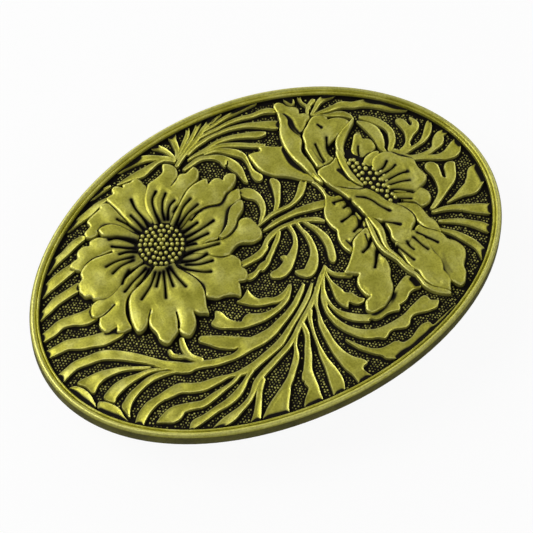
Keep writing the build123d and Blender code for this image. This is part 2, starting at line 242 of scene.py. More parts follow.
            ((-1.2, 1.0, .45), (0, 1.5, .5), (1.5, 2.7, .5), (3, 3.35, .5), (5, 3.75, .38), (7, 3.6, .4),
             (9, 3.3, .4), (10.7, 2.7, .45), (12, 1.9, .5), (12.9, 1, .3)),
            ((6.6, 3.3, .4), (6.6, 1.8, .35), (6.3, .5, .4), (5.6, -.8, .5), (4.4, -2.1, .7), (3, -3.2, .95),
             (1.5, -4.2, 1.1), (0, -4.7, 1.05), (-1.4, -4.5, .6)),
            ((8.2, 3.2, .35), (8.3, 1.5, .3), (8.5, 0, .45), (8.4, -1.8, .55), (8, -3.5, .65),
             (7.2, -5, .85), (5.9, -6.4, 1.1), (4.5, -7.2, 1.0), (3.4, -6.6, .7), (2.8, -6, .35)),
            ((9.5, 3.1, .35), (10, 1.8, .35), (10.6, .6, .5), (11, -.8, .6), (11.25, -2.3, .75),
             (11.15, -3.8, .75), (10.8, -5.2, .75), (10.3, -6.6, .75), (10, -7.3, .5)),
            ((1.6, 6.3, .2), (3.5, 6.8, .3), (5.5, 7.2, .4), (7.5, 7.2, .35), (9.2, 7.2, .35),
             (10.8, 7.7, .5), (12.2, 8.6, .7), (13.4, 9.8, .75), (14.2, 10.6, .6)),
            ((2.3, 6.8, .3), (3.6, 8, .45), (4.4, 9.4, .6), (4.65, 10.8, .7), (4.4, 12.2, .95),
             (3.5, 13.4, 1.15), (2.7, 14.2, .7)),
            ((6, 7.4, .4), (7.2, 8.7, .5), (8, 10, .6), (8.6, 11.3, .75), (9.1, 12.5, .9), (9, 13.5, .6)),
            ((1.8, 4.8, .15), (3.5, 5.1, .35), (5.5, 5.35, .45), (7.5, 5.4, .5), (9.5, 5.3, .6),
             (11.5, 5, .75), (13.3, 4.6, .85), (15.4, 4.2, .8)),
        ),
        "outlines": (
            ((-16.6, -7.35), (-15.4, -6.6), (-14.6, -5.4), (-13.7, -6.3), (-13.3, -8), (-12.4, -9.3),
             (-11.5, -9.85), (-10.9, -9.4), (-9.8, -9.1), (-8.5, -9.7), (-6.95, -10.4), (-5, -10.6),
             (-3.3, -10.2), (-1.5, -9.3), (-.2, -8.2), (.6, -7.4), (.3, -8.4), (-.5, -9.4), (-1.5, -10.4),
             (-3.3, -11.2), (-5.4, -11.75), (-7.6, -11.9), (-9.8, -11.65), (-12.4, -11), (-14.1, -9.95),
             (-15.65, -8.9)),
            ((-10.2, -5.7), (-9.1, -5.7), (-7.6, -4.85), (-7.1, -4.5), (-6.95, -6), (-6.3, -7.35),
             (-5, -7.8), (-4.1, -8.4), (-3.05, -8.65), (-1.95, -8.5), (-.65, -8), (.4, -7.35), (-.8, -9),
             (-2, -9.8), (-3.4, -9.9), (-4.6, -9.5), (-6.5, -8.9), (-8.05, -8), (-9.35, -6.7)),
            ((-5.65, -1.9), (-4.1, -1.9), (-2.8, -1.3), (-2.2, -1.04), (-.65, -.8), (.2, -.2), (.6, -.4),
             (-.2, -1.5), (-1.5, -2.35), (-2.6, -2.7), (-3.05, -2.35), (-4.35, -3), (-5.65, -3.1),
             (-6.2, -2.5)),
            ((-5.4, 1.1), (-3.3, 1.2), (-1.1, 1.6), (.6, 2.3), (.9, 1.3), (0, .7), (-1.5, .05), (-3.3, -.05),
             (-5.3, -.05), (-6, .5)),
            ((-1.95, -4.1), (-1.1, -3.65), (1, -3.8), (1.8, -2.8), (1.7, -1.7), (2.7, -1.9), (3, -3.2),
             (1, -5.5), (0, -5.7), (-.9, -5.4), (-1.6, -4.7)),
        ),
    },
    "leaf_spray_north": {
        "ribbons": (
            ((-18.2, 30, .1), (-15.5, 30.35, .35), (-13, 30.7, .7), (-10.8, 30.55, .8), (-9, 29.95, .65),
             (-7.5, 29, .6), (-6.2, 28, .6), (-5.3, 27.3, .5)),
            ((-17, 27.9, .2), (-14, 27.9, .6), (-12, 27.7, .9), (-10, 27.95, .65), (-8, 28.25, .4),
             (-6.3, 28, .45), (-5.2, 27, .5)),
            ((-7.2, 32, .7), (-6.2, 31, .6), (-5.5, 29.8, .5), (-5.1, 28.6, .4), (-4.9, 27.4, .4)),
            ((-2.7, 32.6, 1.1), (-3, 31, .65), (-3.2, 29.8, .6), (-3.5, 28.4, .5), (-4.3, 27.2, .45)),
            ((.9, 32.7, .4), (.5, 31.5, .4), (-.2, 30.5, .45), (-1.3, 29.6, .4), (-2.4, 28.7, .35),
             (-3.8, 27.6, .35)),
            ((3.9, 32.6, .5), (3.2, 31.9, .5), (2.3, 31.1, .45), (1.4, 30.4, .4), (.3, 29.6, .4),
             (-1, 28.8, .4), (-2.6, 27.8, .4), (-4.2, 26.9, .4)),
            ((6.5, 32.2, .5), (5.6, 31.6, .55), (4.5, 30.8, .5), (3.4, 30.2, .5), (2, 29.4, .45),
             (.5, 28.6, .5), (-1.5, 27.7, .45), (-3.5, 26.7, .4), (-5.2, 25.7, .4)),
            ((7.9, 31.5, .18), (6.7, 31.2, .25), (5.5, 30.8, .35)),
            ((3.2, 29.8, .35), (5, 30, .3), (7, 30.3, .35), (9, 30.5, .42), (11, 30.65, .5),
             (13, 30.85, .7), (15, 30.75, .6), (16.4, 30.5, .3)),
            ((1.6, 29, .35), (3, 28.95, .3), (5, 29, .33), (7, 29.05, .33), (9, 29, .38), (11, 28.75, .45),
             (13, 28.3, .45), (15, 28.05, .5), (16.5, 27.6, .6), (17.3, 27.1, .5)),
            ((-2, 26.9, .4), (0, 27.6, .42), (2, 27.9, .38), (4, 28, .3), (6, 27.95, .32), (8, 27.7, .38),
             (10, 27.15, .45), (12, 26.35, .6), (14, 25.3, .8), (15.6, 24.3, .95), (16.8, 23.8, .8)),
            ((-4.2, 24.9, .2), (-2.5, 25.6, .25), (-1.1, 25.9, .22), (.5, 26, .3), (2, 26.1, .38),
             (4, 26.3, .42), (6, 26.15, .45), (8, 25.6, .5), (10, 24.75, .6), (11.7, 24, .7),
             (13, 23.6, .45)),
            ((-3.4, 25.1, .2), (-1, 25.6, .25), (1, 25.7, .35), (2.5, 25.6, .35), (4.5, 25.25, .4),
             (6, 24.6, .45), (7.5, 23.7, .5), (9, 22.7, .5), (10.5, 21.8, .5), (11.4, 21.1, .4)),
            ((0, 25.3, .25), (1.7, 25.15, .3), (3.3, 24.7, .45), (4.8, 23.6, .7), (6, 22.4, .75),
             (6.8, 21.2, .6), (6.95, 20, .4), (6.85, 18.7, .35), (6.7, 17.4, .45), (6.8, 16.2, .75),
             (7, 15.5, .9)),
            ((-4.4, 24.2, .35), (-2.6, 24.5, .45), (-.8, 24.75, .5), (.5, 24.4, .4), (2, 23.6, .55),
             (3.1, 22.4, .85), (3.9, 21, .95), (4.35, 19.6, 1), (4.6, 18.3, .75), (4.5, 17.2, .6),
             (4.45, 16.2, .45), (4.6, 15.6, .2)),
            ((2.5, 21.8, .25), (2.65, 20.7, .15)),
        ),
        "cuts": (
            ((-5.4, 24.5, .2), (-3.3, 25.25, .16), (-1.1, 25.35, .16), (.4, 25.35, .12)),
            ((3, 20.8, .2), (3.4, 21.1, .15), (3.7, 21.6, .08)),
        ),
    },
    "leaf_fan_north_east": {
        "ribbons": (
            ((23.3, 22.9, .3), (24.8, 23.9, .4), (26.2, 24.8, .55), (27.8, 25.2, .7), (29.3, 25.1, .7),
             (30.6, 24.6, .45), (31.2, 24.2, .2)),
            ((23.6, 22.6, .3), (26, 22.5, .42), (28, 22.25, .6), (29.8, 22.05, .8), (31.5, 21.15, .8),
             (33.3, 20.6, .85), (35, 19.8, 1.0), (36.6, 18.7, 1.15), (38, 17.5, 1.2), (39.4, 16.4, .9),
             (40.8, 15.4, .45)),
            ((24.6, 22, .25), (26, 21.3, .35), (27.4, 20.8, .55), (28.7, 20.1, .6), (29.5, 19.2, .5),
             (29.8, 18.5, .3)),
            ((22.6, 23.4, .3), (23.3, 24.5, .35), (24.3, 25.2, .4), (25.2, 25.6, .5)),
            ((23.7, 28.4, .35), (23.1, 27.3, .35), (23.0, 26.1, .3), (23.4, 25.2, .3), (23.6, 24.4, .3)),
        ),
        "outlines": (
            ((20.3, 29.6), (21.4, 29.5), (22.4, 29), (22.1, 27.8), (21.8, 26.8), (21, 26.4), (20.3, 27.3)),
        ),
        "hollows": (((21.6, 28.2, .6, .35), (21.4, 27.3, .5, .3)),),
    },
    "leaf_fan_east": {
        "ribbons": (
            ((30.4, 17.2, .3), (31.3, 15.8, .85), (31.9, 14.2, 1.15), (32, 12.5, 1.05), (31.7, 11, .85),
             (31.3, 9.8, .55), (31.5, 8.8, .3)),
            ((31.3, 17.9, .3), (32.6, 16.9, .65), (33.8, 15.4, .75), (34.6, 13.7, .65), (34.8, 12.2, .65),
             (34.5, 11.3, .7), (34, 10.3, .65), (33.2, 9.4, .55), (32.6, 8.6, .5), (33.4, 7.6, .5)),
            ((35, 7.1, .6), (37, 7.2, .35), (38.8, 7.5, .4), (40.2, 8.2, .6), (41.5, 9.3, .75),
             (42.5, 10.5, .6), (42.7, 10.9, .4)),
            ((34.6, 5.2, .35), (36.5, 4.6, .45), (38.3, 3.9, .5), (40, 3.1, .65), (41.8, 2.75, 1.0),
             (43.3, 3, 1.35), (44.5, 3.9, 1.1), (45.4, 4.6, .8)),
            ((33, 8, .7), (33.8, 6.9, .75), (34.6, 5.7, .6), (36.3, 5, .5), (38.5, 4.8, .45),
             (40.5, 5.3, .55), (42, 6.3, 1.1), (43.3, 7.5, .7), (44.8, 7.6, .5), (45.4, 7.6, .3)),
        ),
        "outlines": (
            ((33.4, 7.2), (34.2, 7.9), (35.3, 8.3), (36.2, 9), (36.8, 10), (37.1, 11), (37.1, 12),
             (36.9, 13.6), (37.1, 14.2), (37.8, 14.3), (38.4, 13.8), (38.8, 13), (38.9, 12), (39.3, 11.8),
             (39.7, 12.3), (39.7, 13.3), (40.1, 13.6), (40.5, 13), (40.9, 12), (40.6, 11), (39.8, 10.2),
             (38.7, 9.7), (37.6, 9), (36.8, 8.3), (36.6, 7.6), (35, 6.9)),
        ),
    },
    "leaf_fork_east": {
        "outlines": (
            ((36.3, 2), (36.4, 1), (36.6, 0), (36.5, -1.5), (36.1, -3), (35.5, -4), (34.3, -5),
             (33, -5.8), (32.3, -6.3), (32.8, -6.7), (33.7, -6.5), (34.8, -6), (36, -5.3), (37.2, -4.6),
             (38.6, -3.9), (39.8, -3.2), (40.8, -2.2), (41.5, -1), (41.9, -.2), (42.2, .4), (42, .9),
             (41.2, 1.2), (40.3, 1.1), (39.7, .5), (39.4, -.3), (39, -1.3), (38.6, -1.7), (38.3, -1.2),
             (38.5, -.4), (38.8, .6), (38.9, 1.5), (38.6, 2.3), (37.8, 2.85), (36.9, 2.8)),
        ),
    },
    "leaf_fan_south_east": {
        "ribbons": (
            ((36, -6.75, .15), (38, -6.4, .4), (40, -6, .9), (42, -5.8, 1.5), (43.6, -5, 1.4),
             (44.8, -4, 1.6), (45.6, -3.4, 1.5)),
            ((32.4, -7.2, .3), (34.5, -7.6, .45), (36.5, -8.2, .6), (38.5, -9.3, .8), (40.5, -10.5, 1.1),
             (42.3, -11.5, 1.2), (43.5, -11.6, 1.1)),
            ((32.4, -9.6, .3), (34.3, -10.5, .45), (36, -11.5, .6), (37.7, -12.9, .75), (39.2, -14.5, 1.0),
             (40.3, -15.8, .9)),
            ((31.5, -11.2, .3), (33.2, -12.9, .55), (34.4, -14.6, .75), (35.3, -16.3, .8), (35.9, -18, .8),
             (36, -19.6, .9), (35.6, -20.7, .7)),
        ),
        "outlines": (
            ((41.6, -4.4), (42.4, -3.5), (43.3, -2.3), (44.2, -1.7), (45.4, -1.5), (46.3, -1.6),
             (46.5, -3.5), (45.8, -5.8), (44, -5.5)),
        ),
        "cuts": (
            ((36.9, -10.2, .3), (37.5, -9.6, .15)),
        ),
    },
}

DAISY_MIDDLE = (-16.4, 11.9)
DAISY_DISC = 4.75
DAISY_PETALS = (
    ("north", 0, (
        (-17.6, 14.5), (-18.6, 16), (-19.3, 19.5), (-19.9, 23.3), (-20.5, 25.8), (-20, 26.4),
        (-18.9, 26.5), (-18.7, 27.3), (-18, 27.7), (-17.2, 27.4), (-16.6, 26.65), (-16.3, 27.2),
        (-15.4, 27.1), (-14.8, 26.9), (-14.1, 27.2), (-13.4, 27), (-12.9, 26.2), (-12.8, 25.1),
        (-12.6, 24.3), (-13, 21), (-14.5, 17), (-15.5, 14.5))),
    ("north_east", 1, (
        (-15.5, 14), (-15.2, 17.5), (-15.3, 19), (-15, 20.8), (-14.1, 22.5), (-12.6, 24.15),
        (-12, 24.7), (-9.8, 25), (-8.5, 25.5), (-7.9, 26.65), (-7.4, 27), (-6.5, 26.4), (-5.9, 25.35),
        (-5.9, 24.3), (-6.5, 23.2), (-7.6, 22.5), (-8.5, 22), (-7.2, 22.6), (-5.9, 23.4), (-4.8, 23),
        (-3.7, 23.3), (-2.8, 23.5), (-2.4, 22.7), (-2.5, 21.9), (-3.3, 20.8), (-4.1, 20.5),
        (-5.9, 20), (-7.2, 19.4), (-8.5, 18.4), (-10.9, 16.65), (-13, 14.5))),
    ("east", 2, (
        (-13.5, 14), (-11.5, 16), (-9.35, 17.5), (-8.05, 18.4), (-6.5, 19.4), (-4.8, 19.9),
        (-3.3, 20), (-1.95, 19.8), (-2.3, 18.6), (-1.5, 18.9), (-.65, 19.05), (.2, 18.6), (.5, 17.95),
        (1.2, 18.6), (2.3, 18.6), (3.2, 17.8), (2.7, 16.7), (1.8, 16), (.8, 15.5), (-.3, 15.2),
        (-1.3, 14.5), (-2.4, 13.9), (-3.7, 14.2), (-5, 14.6), (-6.3, 14.7), (-7.6, 14.6),
        (-8.9, 14.3), (-11.5, 13.2))),
    ("east_low", 0, (
        (-13, 13.5), (-9, 14.8), (-5, 15), (-2, 14.8), (.5, 15.2), (2.4, 15.1), (2.1, 14.1),
        (1.6, 13), (.6, 12.6), (-.6, 12.2), (-1.3, 11.8), (-2.4, 10.7), (-3.7, 9), (-5.4, 7.9),
        (-7, 7.6), (-8.5, 8.1), (-10.9, 7.65), (-13, 8.5))),
    ("east_curl", 3, (
        (-6.2, 7.6), (-5.4, 7.9), (-3.7, 9), (-2.4, 10.7), (-1.3, 11.8), (-.3, 12.2), (.9, 12.4),
        (1.4, 12), (1, 10.9), (0, 10), (-1.3, 9.2), (-2.4, 8), (-4.1, 7.1), (-5.9, 6.9))),
    ("south_east", 1, (
        (-12.5, 9.3), (-10, 8.2), (-7.5, 7.2), (-6, 6.8), (-4.1, 6.9), (-2.6, 7.7), (-1.5, 8.6),
        (-.5, 8.9), (.6, 8.6), (1.1, 7.6), (1.3, 6.2), (1.4, 4.8), (.9, 3.7), (0, 3.4), (-1.3, 3.4),
        (-2.4, 4), (-3.5, 4.5), (-4.6, 4.3), (-5.9, 3.65), (-6.5, 3.3), (-8.05, 3.85), (-9.35, 4.8),
        (-10.2, 5.8), (-13, 8))),
    ("south", 0, (
        (-6.1, 3.2), (-5.5, 2.4), (-5.2, 1.35), (-5.65, .05), (-5.3, -1.04), (-5.65, -2.2),
        (-6.5, -2.8), (-7.8, -2.45), (-7.9, -3.2), (-8.9, -5.3), (-9.8, -4.5), (-11.5, -3.65),
        (-12.8, -3.5), (-13.9, -2.8), (-14.6, -1.9), (-14.1, -.2), (-14.2, 1.6), (-14.8, 3.3),
        (-15.9, 5.3), (-16.3, 6.35), (-16.4, 9), (-13.5, 9), (-11, 7), (-8.05, 3.85))),
    ("south_west", 2, (
        (-16.3, 6.35), (-15.65, 4.8), (-14.8, 2.9), (-14.35, 1.1), (-14.35, -.6), (-14.8, -2.1),
        (-15.65, -4.1), (-16, -5.6), (-16.7, -5.1), (-17.6, -4.6), (-18.2, -3.7), (-18.5, -4.5),
        (-18.9, -5.8), (-19.8, -6.9), (-21.1, -7.7), (-21.95, -7.35), (-22.5, -6.3), (-22.4, -5.2),
        (-22.8, -5.8), (-23.9, -6.3), (-25.4, -7), (-26.2, -6.5), (-26.6, -5.4), (-26.4, -4.1),
        (-26.7, -2.1), (-26.2, -.8), (-25, .7), (-25.95, -.2), (-27.05, -1.5), (-28.35, -2.1),
        (-29.2, -1.9), (-29.3, -.8), (-29, 1.1), (-28.35, 2.9), (-27.5, 4.6), (-26.2, 5.8),
        (-24.9, 6.2), (-23, 6.8), (-20.5, 8), (-18, 9.5), (-16, 9))),
    ("west_low", 0, (
        (-34.8, 5.7), (-34.65, 6.6), (-34, 7.65), (-33.1, 8.1), (-30, 8.5), (-26, 9.2), (-21, 10.5),
        (-20, 8.8), (-23, 6.9), (-25.3, 6.6), (-27, 5.9), (-28.1, 4.8), (-29, 3.3), (-29.5, 1.6),
        (-29.65, -.2), (-30.5, -.3), (-31.6, -.2), (-32.4, .5), (-32, 1.35), (-33.8, 1.35),
        (-34.4, 1.8), (-34.65, 2.9), (-34.5, 3.7), (-33.8, 4.7), (-34.3, 5.1))),
    ("west", 1, (
        (-34.2, 10.7), (-34, 9.9), (-33, 9.4), (-32.9, 8.6), (-32, 8), (-30.5, 7.5), (-28.8, 7.8),
        (-27.25, 8.5), (-26.2, 9.4), (-24.65, 10.4), (-21, 10.8), (-20, 12), (-21, 13.8),
        (-24.5, 15.2), (-27.25, 15.9), (-28.8, 16.1), (-30.5, 15.8), (-31.8, 15.2), (-32.5, 14.5),
        (-32.7, 13.6), (-33.8, 12.95), (-34, 12.3), (-34.4, 11.5))),
    ("west_high", 0, (
        (-33.4, 17.2), (-32.6, 17.75), (-31.3, 17.95), (-31, 18.8), (-30.1, 19.4), (-29, 19.5),
        (-28.1, 19.1), (-27.6, 19.8), (-26.2, 19.85), (-25, 19.2), (-22.5, 17.5), (-20, 14.5),
        (-21, 13.2), (-24.5, 15), (-27.9, 16), (-30, 15.9), (-31.8, 15.3), (-32.5, 15.6),
        (-33.1, 16.4))),
    ("north_west", 0, (
        (-27.8, 21.2), (-27.6, 21.9), (-26.8, 22.3), (-26, 22.6), (-26.1, 23.6), (-25.3, 24.15),
        (-23.9, 24.6), (-22.6, 24.9), (-22.4, 25.35), (-21.5, 25.6), (-20.65, 25.1), (-20.3, 23.8),
        (-19.8, 21), (-18.8, 17), (-18.5, 15), (-20, 16), (-22, 18.5), (-24.9, 21), (-25.5, 20.35),
        (-27, 20.35), (-27.7, 20.8))),
    ("north_west_narrow", 2, (
        (-25, 20.9), (-23.5, 21.05), (-22, 20.3), (-20.8, 18.9), (-19.8, 17), (-19, 15.8),
        (-18.3, 14.3), (-19.5, 14), (-21.3, 16.4), (-23, 18), (-24.9, 19.3), (-25.1, 20))),
)
DAISY_SLITS = (
    ((-20.8, 21.2), (-19.8, 19.5), (-18.5, 16.2)),
    ((-18.2, 20.5), (-17.8, 18.6), (-17.4, 16.2)),
    ((-16.5, 23.4), (-16.75, 21.2), (-16.4, 18.6), (-16.4, 16.2)),
    ((-11.75, 22.4), (-13.15, 21.2), (-13.9, 19.05), (-14.25, 16.4)),
    ((-10.3, 21.1), (-11.6, 19.9), (-12.6, 18.2), (-13.15, 16.4)),
    ((-9.6, 18.9), (-10.9, 18.4), (-11.85, 17.3), (-12.6, 16.1)),
    ((-9.9, 17.4), (-10.9, 16.9)),
    ((-6.85, 17.5), (-8.9, 16.65), (-10.65, 15.2), (-12, 14.05)),
    ((-6.3, 15.7), (-8.7, 15.1), (-10.2, 14.4), (-11.7, 13.6)),
    ((-8.15, 12.6), (-11.7, 12.2)),
    ((-5.4, 11.35), (-8.7, 11), (-12, 11.1)),
    ((-7.6, 9.5), (-10, 9.7), (-12.4, 9.95)),
    ((-10.75, 8.95), (-12.8, 9.5)),
    ((-6.95, 6.35), (-8.9, 6.8), (-11.5, 7.5), (-14.1, 7.9)),
    ((-10, 5.7), (-12, 5.7), (-13.5, 6.2), (-14.8, 6.9)),
    ((-9.8, 3.95), (-12.3, 4.6), (-14.4, 5.9)),
    ((-11.2, 2.1), (-12.6, 2.9), (-14.1, 4.2), (-15.65, 5.9)),
    ((-16.95, 1.55), (-17.3, 4.2), (-17.5, 6.8)),
    ((-18.9, 2.9), (-18.5, 4.8), (-18, 6.7)),
    ((-21.3, 1.45), (-20.2, 3.7), (-18.9, 6.6)),
    ((-21.6, 4.5), (-19.6, 6.8)),
    ((-25.3, 3.6), (-22.8, 5), (-21.5, 6.1), (-20.3, 7.3)),
    ((-24.5, 6.7), (-22.8, 7.5), (-20.9, 8.7)),
    ((-27.05, 7), (-25, 7.9), (-23, 8.6), (-21.3, 9.2)),
    ((-24.3, 10.4), (-25.5, 9.7), (-26.6, 8.75)),
    ((-27.6, 13.3), (-25, 13.3), (-22.2, 12.5)),
    ((-27.2, 11.4), (-25, 12), (-22.5, 11.9)),
    ((-24.1, 14.4), (-22.6, 14), (-20.9, 13)),
    ((-24.5, 16.65), (-22.6, 15.2), (-20.9, 13.8)),
    ((-24.2, 18.2), (-22.8, 17.7), (-21.3, 16.4), (-20.2, 15.1)),
)
DAISY_ALL_SLITS = tuple(tuple((x, y, 0.22 if k == 0 else 0.16) for k, (x, y) in enumerate(slit))
                        for slit in DAISY_SLITS)
DAISY_CUTS = (
    ((-21.1, -2.2, .15), (-21.7, -4.1, .2), (-22.3, -5.2, .25)),
    ((-34.3, 4.95, .15), (-32.5, 4.9, .12), (-30.1, 5.6, .1)),
    ((-23.5, 10.5, .12), (-21.1, 10.4, .12)),
    ((-6.5, 14.6, .12), (-8.8, 13.7, .12)),
    ((-27.9, 16.1, .12), (-25.2, 15.7, .3)),
)

